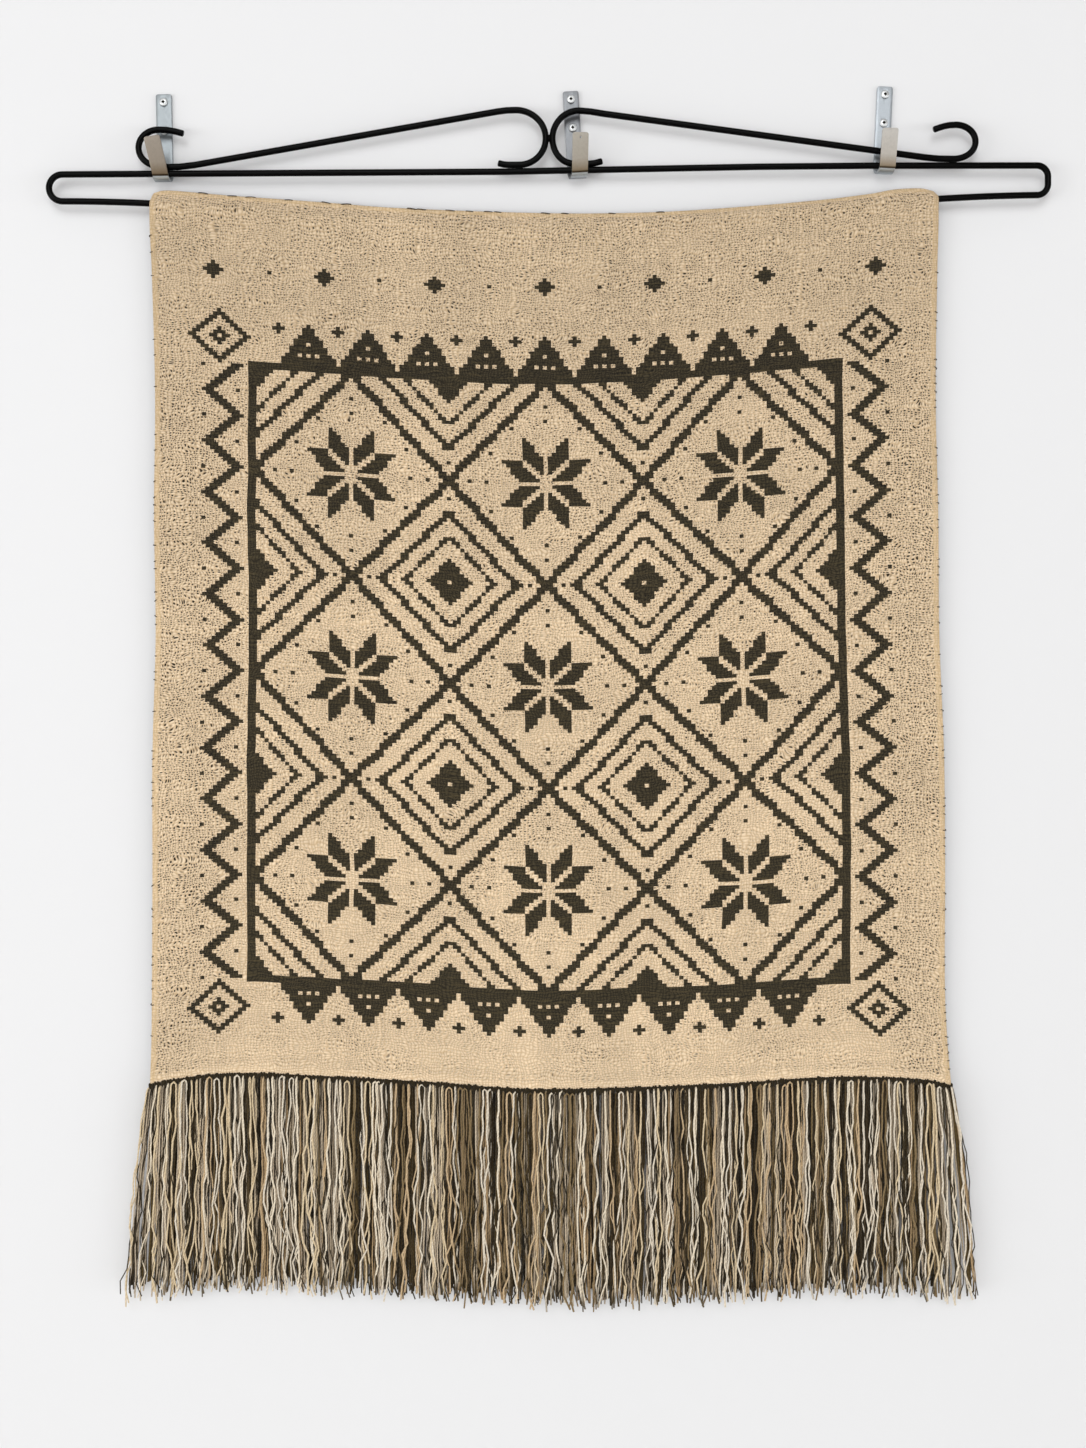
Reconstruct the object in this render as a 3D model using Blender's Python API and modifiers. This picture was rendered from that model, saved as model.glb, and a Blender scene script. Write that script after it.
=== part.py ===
"""Woven wool wall hanging: a double-woven cloth with a fringe, on a scrolled rod hanger in three wall hooks.

Metres, +Z up. The wall is the plane Y = 0 and the hanging is on its -Y side, with +X to the right.
The origin is on the back of the middle hook's plate, midway between its two screws.
"""

import math
import random

import bmesh
import bpy
from mathutils import Matrix, Vector
from mathutils.geometry import interpolate_bezier

MM = 0.001
PART_GAP = 0.3 * MM          # between two pieces that touch

# ---- driving sizes ----
ROD_RADIUS = 3.0 * MM
ROD_Y = -10.9 * MM           # plane of the hanger's rods
WELD_PITCH = 2 * ROD_RADIUS + PART_GAP
ARC_HANDLE = 0.39            # share of its chord that makes a quarter circle's cubic handle
DEGREES_A_STEP = 13

STRIP_WIDTH = 15.0 * MM      # hooks: bent steel strip
STRIP_THICKNESS = 2.4 * MM
HOOK_BEND_RADIUS = 6.5 * MM  # inner radius of the J
PRONG_FLARE = math.radians(23)
PRONG_LENGTH = 33.0 * MM
SCREW_PITCH = 27.3 * MM
TOP_TO_SCREW = 8.0 * MM
BEND_TO_SCREW = 41.5 * MM    # from the centre of the bend up to the lower screw
TIP_HOLE_RADIUS = 0.9 * MM
TIP_HOLE_INSET = 4.5 * MM
CORNER_CHAMFER = 2.2 * MM
SCREW_SHANK_RADIUS = 2.0 * MM
SCREW_HEAD_RADIUS = 3.8 * MM
SCREW_HEAD_HEIGHT = 2.0 * MM
SCREW_RECESS = 2.6 * MM      # side of the square drive recess

CLOTH_THICKNESS = 2.6 * MM   # two woven layers
HEADING_HALF = 1.5 * MM      # half thickness of the woven band above the pocket
POCKET_HALF = 5.3 * MM       # half thickness where the pocket goes round the lower rod
SWELL_ABOVE, SWELL_BELOW = 3.8, 11.5   # mm: how far the pocket's swelling reaches over and under the rod
TUNNEL_RADIUS = 3.6 * MM
TUNNEL_FROM, TUNNEL_TO = -430, 385     # mm: x of the pocket's cutter, past both selvedges
STIFF_BELOW, FREE_BELOW = 12, 62       # mm under the rod: where the cloth starts to hang free, and where it does
EDGE_ROLL = 1.2 * MM         # how far the selvedges curl back to the wall
EDGE_ROLL_WIDTH = 17         # mm
HEM_KICK = 3.0 * MM          # how far the bottom edge stands forward
HEM_KICK_HEIGHT = 22         # mm
CLOTH_COLUMNS = 30
COLUMN_CROWDING = 0.095      # how much closer the columns are at the selvedges
ROWS_BY_ROD = (5.2, 2.6, 0, -2.6, -5.5, -10, -17, -28)   # mm over the rod's centre line
CLOTH_ROWS_BELOW = 24

FRINGE_STRIP_HEIGHT = 5.0 * MM
FRINGE_STRIP_DEPTH = 6.6 * MM
FRINGE_GAP = 0.5 * MM
FRINGE_LENGTH = 198.0 * MM
FRINGE_STRANDS = 160         # odd ones hang from the strip's back, even ones from its front
FRINGE_BANDS = (0.0, 0.34, 0.66, 1.0)   # shares of the strip's depth: front strands, gap, back strands
STRAND_RINGS = ((0.05, 0.62), (0.36, 0.6), (0.68, 0.58), (1.0, 0.5))   # share of the length, share of root width
FRINGE_WIDTH = 755           # mm, for the strands' drift
FAN_LEFT, FAN_RIGHT, FAN_REACH = 30, 34, 24   # mm: how far the outermost strands fan out

# ---- short tables, in mm ----
# upper run of the loop: x, z of its centre line, with its slight bends
UPPER_BAR = ((-483.3, -60.9), (-62.6, -58.3), (30.4, -56.4), (176.5, -53.6), (282.7, -52.6), (441.1, -52.4))
LOOP_LEFT_X, LOOP_RIGHT_X = -496.2, 451.6
LOOP_CORNER_RADIUS = 10.5    # right end; the left end is a half circle
LOWER_LEFT_Z, LOWER_RIGHT_Z = -86.4, -80.4
LOWER_SAG = 26.5

# cloth edges: z, left x, right x
CLOTH_SIDES = (
    (-76, -393, 341.5), (-82, -398, 346), (-100, -400, 347), (-157, -398, 346), (-271, -395, 344.5),
    (-385, -396, 347), (-499, -394.5, 348), (-612, -397.5, 352.5), (-726, -397.5, 353.5), (-840, -398, 353.5),
    (-928, -399, 358.5),
)
# cloth's top edge, sagging with the rod: x, z
CLOTH_TOP = (
    (-398, -80), (-391, -77.5), (-380, -77.2), (-324, -82), (-234, -88.5), (-175, -93.2), (-86, -97), (-4, -98.9),
    (70, -98), (122, -95.4), (197, -89.7), (249, -84.7), (280, -80.5), (306, -76.2), (334, -75.2), (346, -78.5),
)
# cloth's bottom edge: share of the width, z
CLOTH_BOTTOM = (
    (0.0, -923), (0.06, -915), (0.12, -912.5), (0.22, -915.5), (0.35, -921), (0.47, -927.5), (0.6, -926),
    (0.74, -921.5), (0.84, -916.5), (0.92, -916.5), (0.97, -919), (1.0, -924),
)
# soft troughs (depth > 0, towards the wall) and ridges (depth < 0): x, z, half length, half width, angle, depth
CLOTH_FOLDS = (
    (55, -752, 75, 13, -14, 2.4),
    (-30, -786, 90, 16, -10, -1.8),
    (-250, -470, 120, 45, 70, -2.0),
    (120, -330, 140, 50, 80, -2.2),
    (-60, -560, 150, 40, 84, 1.6),
    (250, -640, 130, 45, 95, -1.8),
    (-320, -760, 110, 35, 100, 1.4),
    (210, -200, 80, 22, 8, 1.4),
    (-180, -215, 90, 24, -6, 1.2),
)
# scrolls, from tip to tip: x, z (ON_BAR where the rod is welded to the upper bar) and heading in degrees
ON_BAR = None
SCROLLS = {
    "scroll_left": (
        (-368.6, -22.2, 164), (-392.7, -18.5, 181), (-411.2, -35.5, 270), (-388.0, ON_BAR, 360),
        (-357.6, -51.9, 369.5), (-71.1, -1.3, 369.5), (-53.4, 0.2, 360), (-24.9, -26.7, 270), (-50.0, ON_BAR, 180),
        (-70.2, -50.1, 162),
    ),
    "scroll_right": (
        (28.8, -48.2, 200), (1.9, ON_BAR, 180), (-18.6, -26.7, 90), (6.7, -0.3, 0), (29.4, -3.2, -7.7),
        (334.9, -44.7, -7.7), (361.5, ON_BAR, 0), (382.8, -29.8, 90), (364.3, -13.8, 180), (343.0, -18.5, 200),
    ),
}
# hooks: x of the bend, tilt of the plate, sideways shift in the bend, lean of the prong (degrees, + to +X going
# up), hole at the prong's tip
HOOKS = {
    "hook_left": (-388.0, -1.2, -1.6, -7.5, False),
    "hook_middle": (3.27, -3.4, 4.0, 3.8, True),
    "hook_right": (295.5, 2.7, 3.0, -2.5, False),
}


# ---- helpers ----
def lerp(a, b, t):
    return a + (b - a) * t


def smoothstep(t):
    t = min(1.0, max(0.0, t))
    return t * t * (3 - 2 * t)


def along(table, key, column=1):
    """A table's column at a key, on a smooth cubic through its rows."""
    rows = sorted(table)
    if key <= rows[0][0]:
        return rows[0][column]
    if key >= rows[-1][0]:
        return rows[-1][column]
    i = max(k for k in range(len(rows) - 1) if rows[k][0] <= key)
    before, after = rows[max(i - 1, 0)], rows[min(i + 2, len(rows) - 1)]
    a, b = rows[i], rows[i + 1]
    span = b[0] - a[0]
    slope_a = (b[column] - before[column]) / (b[0] - before[0]) * span
    slope_b = (after[column] - a[column]) / (after[0] - a[0]) * span
    t = (key - a[0]) / span
    return (
        (2 * t**3 - 3 * t**2 + 1) * a[column]
        + (t**3 - 2 * t**2 + t) * slope_a
        + (3 * t**2 - 2 * t**3) * b[column]
        + (t**3 - t**2) * slope_b
    )


def on_polyline(table, key):
    """A table's second column at a key, straight between its rows."""
    for (x0, z0), (x1, z1) in zip(table, table[1:]):
        if key <= x1:
            return lerp(z0, z1, (key - x0) / (x1 - x0))
    return table[-1][1]


def arc(centre, radius, start, turn, steps):
    """Points (x, z) on an arc, with its start and turn in degrees."""
    angles = [math.radians(start + turn * k / steps) for k in range(steps + 1)]
    return [(centre[0] + radius * math.cos(angle), centre[1] + radius * math.sin(angle)) for angle in angles]


def material(name, color, roughness, metallic=0.0):
    made = bpy.data.materials.new(name)
    made.use_nodes = True
    made.diffuse_color = (*color, 1)
    shader = made.node_tree.nodes["Principled BSDF"]
    shader.inputs["Base Color"].default_value = (*color, 1)
    shader.inputs["Roughness"].default_value = roughness
    shader.inputs["Metallic"].default_value = metallic
    return made


def add_object(name, data, collection, finish=None):
    made = bpy.data.objects.new(name, data)
    collection.objects.link(made)
    if finish:
        data.materials.append(finish)
    return made


def new_mesh(name, bm):
    mesh = bpy.data.meshes.new(name)
    bm.to_mesh(mesh)
    bm.free()
    return mesh


def hide_cutter(cutter):
    cutter.hide_render = True
    cutter.display_type = "WIRE"


def cut(target, cutter):
    modifier = target.modifiers.new("cut " + cutter.name, "BOOLEAN")
    modifier.operation = "DIFFERENCE"
    modifier.object = cutter


# ---- hanger: one loop and two scrolls of round rod ----
def lower_rod_z(x):
    """Centre line of the loop's lower run, in mm, level at both ends and sagging between."""
    share = (x - LOOP_LEFT_X) / (LOOP_RIGHT_X - LOOP_LEFT_X)
    return lerp(LOWER_LEFT_Z, LOWER_RIGHT_Z, share) - LOWER_SAG * math.sin(math.pi * share) ** 2


def lower_run(from_x, to_x, steps):
    xs = [lerp(from_x, to_x, k / steps) for k in range(steps + 1)]
    return [(x, lower_rod_z(x)) for x in xs]


def loop_path():
    end_radius = (UPPER_BAR[0][1] - lower_rod_z(LOOP_LEFT_X)) / 2
    left_centre = (LOOP_LEFT_X + end_radius, UPPER_BAR[0][1] - end_radius)
    corner_x = LOOP_RIGHT_X - LOOP_CORNER_RADIUS
    top_corner = (corner_x, UPPER_BAR[-1][1] - LOOP_CORNER_RADIUS)
    low_corner = (corner_x, lower_rod_z(corner_x) + LOOP_CORNER_RADIUS)
    path = list(UPPER_BAR[1:-1])
    path += arc(top_corner, LOOP_CORNER_RADIUS, 90, -90, 5)
    path += arc(low_corner, LOOP_CORNER_RADIUS, 0, -90, 5)
    path += lower_run(corner_x, left_centre[0], 30)[1:-1]
    path += arc(left_centre, end_radius, 270, -180, 8)
    return path


def scroll_path(stations):
    """Smooth curve through the stations, each passed at its heading; straight stretches stay one segment."""
    knots = []
    for x, z, heading in stations:
        if z is ON_BAR:
            z = on_polyline(UPPER_BAR, x) + WELD_PITCH / MM
        angle = math.radians(heading)
        knots.append((Vector((x, z, 0)), Vector((math.cos(angle), math.sin(angle), 0)), heading))
    path = []
    for (start, leaving, heading_a), (end, arriving, heading_b) in zip(knots, knots[1:]):
        handle = ARC_HANDLE * (end - start).length
        steps = max(1, round(abs(heading_b - heading_a) / DEGREES_A_STEP))
        curve = interpolate_bezier(start, start + leaving * handle, end - arriving * handle, end, steps + 1)
        path += [(p.x, p.y) for p in curve[:-1]]
    last = knots[-1][0]
    return path + [(last.x, last.y)]


def rod(name, path, radius, collection, finish=None, cyclic=False):
    curve = bpy.data.curves.new(name, "CURVE")
    curve.dimensions = "3D"
    curve.resolution_u = 1
    curve.render_resolution_u = 0
    curve.bevel_depth = radius
    curve.bevel_resolution = 2
    curve.use_fill_caps = not cyclic
    spline = curve.splines.new("POLY")
    spline.points.add(len(path) - 1)
    for point, (x, z) in zip(spline.points, path):
        point.co = (x * MM, ROD_Y, z * MM, 1)
    spline.use_cyclic_u = cyclic
    return add_object(name, curve, collection, finish)


def make_hanger(collection, finish):
    rod("hanger_loop", loop_path(), ROD_RADIUS, collection, finish, cyclic=True)
    for name, stations in SCROLLS.items():
        rod(name, scroll_path(stations), ROD_RADIUS, collection, finish)


# ---- hooks and screws ----
def hook_seat(x, tilt):
    """Depth of the J's bend centre over the rod's centre line, so that the rod lies in the bend with PART_GAP."""
    bend_y = -STRIP_THICKNESS - HOOK_BEND_RADIUS
    corner_gap = STRIP_WIDTH / 2 * math.tan(math.radians(abs(tilt)))
    room = HOOK_BEND_RADIUS - ROD_RADIUS - PART_GAP - corner_gap
    return on_polyline(UPPER_BAR, x) * MM + math.sqrt(room**2 - (ROD_Y - bend_y) ** 2)


def hook_profile():
    """Middle line of the strip, from the plate's top to the prong's tip: y, z, share round the bend, up the prong.

    z is measured from the centre of the bend.
    """
    middle = HOOK_BEND_RADIUS + STRIP_THICKNESS / 2
    bend_y = -STRIP_THICKNESS - HOOK_BEND_RADIUS
    top = BEND_TO_SCREW + SCREW_PITCH + TOP_TO_SCREW
    profile = [(-STRIP_THICKNESS / 2, top, 0.0, 0.0)]
    steps = 9
    sweep = math.pi - PRONG_FLARE
    for k in range(steps + 1):
        angle = -sweep * k / steps
        profile.append((bend_y + middle * math.cos(angle), middle * math.sin(angle), k / steps, 0.0))
    foot_y, foot_z = profile[-1][:2]
    tip_y = foot_y - PRONG_LENGTH * math.sin(PRONG_FLARE)
    profile.append((tip_y, foot_z + PRONG_LENGTH * math.cos(PRONG_FLARE), 1.0, 1.0))
    return profile


def make_hook(name, collection, cutters, finish):
    x, tilt, bend_shift, lean, has_tip_hole = HOOKS[name]
    profile = hook_profile()
    tip_shift = PRONG_LENGTH * math.tan(math.radians(lean))
    bm = bmesh.new()
    bmesh.ops.create_grid(bm, x_segments=1, y_segments=len(profile) - 1, size=1)
    for v in bm.verts:
        y, z, round_bend, up_prong = profile[round((v.co.y + 1) / 2 * (len(profile) - 1))]
        across = v.co.x * STRIP_WIDTH / 2
        # the end is cut square to the leaning prong
        rise = -across * math.tan(math.radians(lean)) * up_prong
        y, z = y - rise * math.sin(PRONG_FLARE), z + rise * math.cos(PRONG_FLARE)
        v.co = (across + round_bend * bend_shift * MM + up_prong * tip_shift, y, z)
    corners = [v for v in bm.verts if len(v.link_edges) == 2]
    bmesh.ops.bevel(bm, geom=corners, offset=CORNER_CHAMFER, affect="VERTICES", segments=1)
    bmesh.ops.recalc_face_normals(bm, faces=bm.faces)
    hook = add_object(name, new_mesh(name, bm), collection, finish)
    solid = hook.modifiers.new("strip thickness", "SOLIDIFY")
    solid.thickness = STRIP_THICKNESS
    solid.offset = 0
    solid.use_even_offset = True
    place = Matrix.Translation((x * MM, 0, hook_seat(x, tilt))) @ Matrix.Rotation(math.radians(tilt), 4, "Y")
    hook.matrix_world = place
    plate_y = -STRIP_THICKNESS / 2
    for label, height in (("upper", BEND_TO_SCREW + SCREW_PITCH), ("lower", BEND_TO_SCREW)):
        hole = round_cutter(f"{name}_hole_{label}", SCREW_SHANK_RADIUS + PART_GAP, cutters)
        hole.matrix_world = place @ Matrix.Translation((0, plate_y, height))
        cut(hook, hole)
        make_screw(f"{name.replace('hook', 'screw')}_{label}", place, height, collection, cutters, finish)
    if has_tip_hole:
        tip_y, tip_z = profile[-1][:2]
        share = 1 - TIP_HOLE_INSET / PRONG_LENGTH
        centre = (
            bend_shift * MM + share * tip_shift,
            tip_y + TIP_HOLE_INSET * math.sin(PRONG_FLARE),
            tip_z - TIP_HOLE_INSET * math.cos(PRONG_FLARE),
        )
        hole = round_cutter(name + "_tip_hole", TIP_HOLE_RADIUS, cutters)
        hole.matrix_world = place @ Matrix.Translation(centre) @ Matrix.Rotation(PRONG_FLARE, 4, "X")
        cut(hook, hole)


def round_cutter(name, radius, cutters):
    bm = bmesh.new()
    bmesh.ops.create_cone(
        bm, cap_ends=True, segments=12, radius1=radius, radius2=radius, depth=3 * STRIP_THICKNESS,
        matrix=Matrix.Rotation(math.pi / 2, 4, "X"),
    )
    cutter = add_object(name, new_mesh(name, bm), cutters)
    hide_cutter(cutter)
    return cutter


def make_screw(name, place, height, collection, cutters, finish):
    """Pan head and shank, turned from a profile; it ends at the plate's back, where the wall would begin."""
    seat = STRIP_THICKNESS + PART_GAP
    profile = (
        (0.0, PART_GAP), (SCREW_SHANK_RADIUS, PART_GAP), (SCREW_SHANK_RADIUS, seat), (SCREW_HEAD_RADIUS, seat),
        (SCREW_HEAD_RADIUS, seat + 0.6 * SCREW_HEAD_HEIGHT), (0.8 * SCREW_HEAD_RADIUS, seat + SCREW_HEAD_HEIGHT),
        (0.0, seat + SCREW_HEAD_HEIGHT),
    )
    bm = bmesh.new()
    verts = [bm.verts.new((radius, -depth, 0)) for radius, depth in profile]
    for a, b in zip(verts, verts[1:]):
        bm.edges.new((a, b))
    bmesh.ops.spin(
        bm, geom=bm.verts[:] + bm.edges[:], cent=(0, 0, 0), axis=(0, 1, 0), angle=2 * math.pi, steps=12,
        use_merge=True,
    )
    bmesh.ops.remove_doubles(bm, verts=bm.verts, dist=0.00001)
    bmesh.ops.recalc_face_normals(bm, faces=bm.faces)
    screw = add_object(name, new_mesh(name, bm), collection, finish)
    screw.matrix_world = place @ Matrix.Translation((0, 0, height))
    bm = bmesh.new()
    bmesh.ops.create_cube(bm, size=SCREW_RECESS)
    recess = add_object(name + "_recess", new_mesh(name + "_recess", bm), cutters)
    recess.matrix_world = screw.matrix_world @ Matrix.Translation((0, -seat - SCREW_HEAD_HEIGHT, 0))
    hide_cutter(recess)
    cut(screw, recess)


# ---- cloth ----
def fold_depth(x, z):
    """Sum of the soft troughs and ridges at a point of the cloth, in mm towards the wall."""
    total = 0.0
    for fold_x, fold_z, half_length, half_width, angle, depth in CLOTH_FOLDS:
        turn = math.radians(angle)
        lengthwise = (x - fold_x) * math.cos(turn) + (z - fold_z) * math.sin(turn)
        crosswise = (z - fold_z) * math.cos(turn) - (x - fold_x) * math.sin(turn)
        total += depth * math.exp(-((lengthwise / half_length) ** 2) - (crosswise / half_width) ** 2)
    return total


def cloth_middle_y(x, z, left, right):
    """Middle surface of the cloth: it hangs from the rod, its selvedges curl back and its hem stands forward."""
    below = lower_rod_z(x) - z
    hangs_free = smoothstep((below - STIFF_BELOW) / (FREE_BELOW - STIFF_BELOW))
    to_edge = min(x - left, right - x)
    roll = EDGE_ROLL * math.exp(-((to_edge / EDGE_ROLL_WIDTH) ** 2))
    bottom = along(CLOTH_BOTTOM, (x - left) / (right - left))
    kick = HEM_KICK * math.exp(-(((z - bottom) / HEM_KICK_HEIGHT) ** 2))
    return ROD_Y + hangs_free * (roll - kick + fold_depth(x, z) * MM)


def cloth_rows(x, share):
    """Heights of one column's points: close together round the rod, even below."""
    rod_z = lower_rod_z(x)
    top = along(CLOTH_TOP, x)
    heights = [top, lerp(top, rod_z + ROWS_BY_ROD[0], 0.6)]
    heights += [rod_z + step for step in ROWS_BY_ROD]
    bottom = along(CLOTH_BOTTOM, share)
    heights += [lerp(heights[-1], bottom, (k + 1) / CLOTH_ROWS_BELOW) for k in range(CLOTH_ROWS_BELOW)]
    return heights


def half_thickness(x, z):
    """Half of the cloth's thickness: it swells round the rod in the pocket, and is flat above and below."""
    over = z - lower_rod_z(x)
    flat, reach = (HEADING_HALF, SWELL_ABOVE) if over > 0 else (CLOTH_THICKNESS / 2, SWELL_BELOW)
    return lerp(flat, POCKET_HALF, math.exp(-((over / reach) ** 2)))


def column_shares():
    """Columns are closer at the selvedges, where the cloth curls."""
    even = [k / CLOTH_COLUMNS for k in range(CLOTH_COLUMNS + 1)]
    return [t - COLUMN_CROWDING * math.sin(2 * math.pi * t) for t in even]


def make_cloth(collection, cutters, finish):
    shares = column_shares()
    rows = len(cloth_rows(0, 0.5))
    bm = bmesh.new()
    bmesh.ops.create_grid(bm, x_segments=CLOTH_COLUMNS, y_segments=rows - 1, size=1)
    weights = {}
    bm.verts.ensure_lookup_table()
    for v in bm.verts:
        column = round((v.co.x + 1) / 2 * CLOTH_COLUMNS)
        row = round((1 - v.co.y) / 2 * (rows - 1))
        share = shares[column]
        z = cloth_rows(lerp(*CLOTH_SIDES[-1][1:], share), share)[row]
        left, right = along(CLOTH_SIDES, z, 1), along(CLOTH_SIDES, z, 2)
        x = lerp(left, right, share)
        z = cloth_rows(x, share)[row]
        v.co = (x * MM, cloth_middle_y(x, z, left, right), z * MM)
        weights[v.index] = half_thickness(x, z) / POCKET_HALF
    bmesh.ops.recalc_face_normals(bm, faces=bm.faces)
    cloth = add_object("cloth", new_mesh("cloth", bm), collection, finish)
    group = cloth.vertex_groups.new(name="thickness")
    for index, weight in weights.items():
        group.add([index], weight, "REPLACE")
    solid = cloth.modifiers.new("two layers", "SOLIDIFY")
    solid.thickness = 2 * POCKET_HALF
    solid.offset = 0
    solid.vertex_group = group.name
    tunnel = rod("tunnel_path", lower_run(TUNNEL_FROM, TUNNEL_TO, 26), TUNNEL_RADIUS, cutters)
    cut(cloth, curve_to_mesh(tunnel, "tunnel", cutters))


def curve_to_mesh(curve_object, name, collection):
    bpy.context.view_layer.update()
    evaluated = curve_object.evaluated_get(bpy.context.evaluated_depsgraph_get())
    mesh = bpy.data.meshes.new_from_object(evaluated)
    bm = bmesh.new()
    bm.from_mesh(mesh)
    bmesh.ops.remove_doubles(bm, verts=bm.verts, dist=0.00001)
    bmesh.ops.recalc_face_normals(bm, faces=bm.faces)
    bm.to_mesh(mesh)
    bm.free()
    made = add_object(name, mesh, collection)
    hide_cutter(made)
    bpy.data.objects.remove(curve_object)
    return made


# ---- fringe: a heading strip along the cloth's bottom edge, with its strands drawn down from it ----
def fringe_root(share, depth_share):
    """A point of the strip's top; depth_share runs from its front (0) to its back (1)."""
    bottom = along(CLOTH_BOTTOM, share)
    left, right = along(CLOTH_SIDES, bottom, 1), along(CLOTH_SIDES, bottom, 2)
    x = lerp(left, right, share)
    middle = cloth_middle_y(x, bottom, left, right)
    return Vector((x * MM, middle + FRINGE_STRIP_DEPTH * (depth_share - 0.5), bottom * MM - FRINGE_GAP))


def strand_drift(share, down, row):
    """How far a strand has strayed from its root's plumb line: slow waves along the fringe, so none cross."""
    x = share * FRINGE_WIDTH
    drift = 3.2 * math.sin(x / 31 + 2.1 * row) + 2.2 * math.sin(x / 13.5 + 1.3 + 2.9 * row)
    wave = 1.5 * math.sin(x / 24 + 5.2 * down + row)
    fan = FAN_RIGHT * math.exp((x - FRINGE_WIDTH) / FAN_REACH) - FAN_LEFT * math.exp(-x / FAN_REACH)
    depth = 1.2 * math.sin(x / 19 + 3 * down)
    return Vector((drift + fan + wave, depth, 0)) * down * MM


def make_fringe(collection, finish):
    chance = random.Random(7)
    bands = len(FRINGE_BANDS) - 1
    bm = bmesh.new()
    bmesh.ops.create_grid(bm, x_segments=FRINGE_STRANDS, y_segments=bands, size=1)
    roots = []
    for face in bm.faces:
        centre = face.calc_center_median()
        strand = int((centre.x + 1) / 2 * FRINGE_STRANDS)
        band = int((centre.y + 1) / 2 * bands)
        if band == (strand % 2) * (bands - 1):
            roots.append((strand, face))
    for v in bm.verts:
        share = (v.co.x + 1) / 2
        band = round((v.co.y + 1) / 2 * bands)
        v.co = fringe_root(share, FRINGE_BANDS[band]) - Vector((0, 0, FRINGE_STRIP_HEIGHT))
    under = bm.faces[:]
    lifted = bmesh.ops.extrude_face_region(bm, geom=under, use_keep_orig=True)["geom"]
    bmesh.ops.translate(
        bm, verts=[item for item in lifted if isinstance(item, bmesh.types.BMVert)], vec=(0, 0, FRINGE_STRIP_HEIGHT)
    )
    top_faces = {item for item in lifted if isinstance(item, bmesh.types.BMFace)}
    seams = [e for e in bm.edges if set(e.link_faces) <= top_faces and abs(e.verts[0].co.x - e.verts[1].co.x) > MM]
    bmesh.ops.dissolve_edges(bm, edges=seams, use_verts=False)
    bmesh.ops.recalc_face_normals(bm, faces=bm.faces)
    for strand, face in sorted(roots, key=lambda root: root[0]):
        draw_strand(bm, face, strand, chance)
    add_object("fringe", new_mesh("fringe", bm), collection, finish)


def draw_strand(bm, face, strand, chance):
    share, row = (strand + 0.5) / FRINGE_STRANDS, strand % 2
    root = face.calc_center_median()
    length = FRINGE_LENGTH * chance.uniform(0.965, 1.03)
    lean = Vector((chance.uniform(-1.2, 1.2), chance.uniform(-0.4, 0.4), 0)) * MM
    width = 1.0
    for down, next_width in STRAND_RINGS:
        face = bmesh.ops.extrude_discrete_faces(bm, faces=[face])["faces"][0]
        centre = face.calc_center_median()
        target = root + strand_drift(share, down, row) + lean * down - Vector((0, 0, length * down))
        for v in face.verts:
            v.co = target + (v.co - centre) * (next_width / width)
        width = next_width


def main():
    for old in list(bpy.data.objects):
        bpy.data.objects.remove(old)
    hanging = bpy.data.collections.new("wall_hanging")
    cutters = bpy.data.collections.new("cutters")
    for collection in (hanging, cutters):
        bpy.context.scene.collection.children.link(collection)
    black_paint = material("black painted steel rod", (0.012, 0.012, 0.013), 0.35)
    zinc = material("zinc-plated steel strip", (0.42, 0.43, 0.45), 0.38, 0.9)
    wool = material("undyed and brown wool", (0.62, 0.52, 0.38), 0.9)
    yarn = material("wool yarn", (0.40, 0.34, 0.26), 0.9)
    make_hanger(hanging, black_paint)
    for name in HOOKS:
        make_hook(name, hanging, cutters, zinc)
    make_cloth(hanging, cutters, wool)
    make_fringe(hanging, yarn)


main()
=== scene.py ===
# %% [markdown]
# # A woven wool wall hanging on a wire hanger
#
# A double-woven woollen cloth, about 750 mm wide and 850 mm long, hangs by a pocket along its top from a hanger of
# bent 6 mm rod. Three bent steel hooks on the wall hold the hanger, and a long fringe of mixed wool yarns ends the
# cloth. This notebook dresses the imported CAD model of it: the CAD solids stay the fixed frame, and each visible
# piece is built again in more detail, in the same place, with a material named for the real finish.

import math

import bmesh
import bpy
from mathutils import Matrix, Vector, noise
from mathutils.geometry import interpolate_bezier


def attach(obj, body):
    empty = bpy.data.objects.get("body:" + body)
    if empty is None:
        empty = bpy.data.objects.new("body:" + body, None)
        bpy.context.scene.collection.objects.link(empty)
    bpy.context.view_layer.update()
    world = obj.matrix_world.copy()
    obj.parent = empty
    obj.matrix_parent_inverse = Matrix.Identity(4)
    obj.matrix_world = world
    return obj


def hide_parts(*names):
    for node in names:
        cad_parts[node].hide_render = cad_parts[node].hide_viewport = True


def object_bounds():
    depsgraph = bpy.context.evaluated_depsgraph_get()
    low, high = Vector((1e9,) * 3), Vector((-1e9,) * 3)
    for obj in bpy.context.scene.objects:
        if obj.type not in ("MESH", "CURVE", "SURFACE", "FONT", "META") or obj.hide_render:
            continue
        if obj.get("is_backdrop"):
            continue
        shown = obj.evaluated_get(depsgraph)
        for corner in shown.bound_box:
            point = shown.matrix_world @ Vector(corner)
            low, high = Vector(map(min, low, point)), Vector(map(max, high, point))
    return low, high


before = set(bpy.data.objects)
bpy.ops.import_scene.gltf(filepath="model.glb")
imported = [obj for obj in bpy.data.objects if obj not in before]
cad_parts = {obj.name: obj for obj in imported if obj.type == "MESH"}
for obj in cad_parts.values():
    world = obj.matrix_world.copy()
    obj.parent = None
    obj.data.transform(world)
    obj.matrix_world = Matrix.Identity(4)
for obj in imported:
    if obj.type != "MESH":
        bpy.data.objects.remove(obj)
cad_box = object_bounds()
print(len(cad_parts), "CAD nodes:", ", ".join(sorted(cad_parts)))
print("CAD box:", [[round(c, 4) for c in corner] for corner in cad_box])

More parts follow.
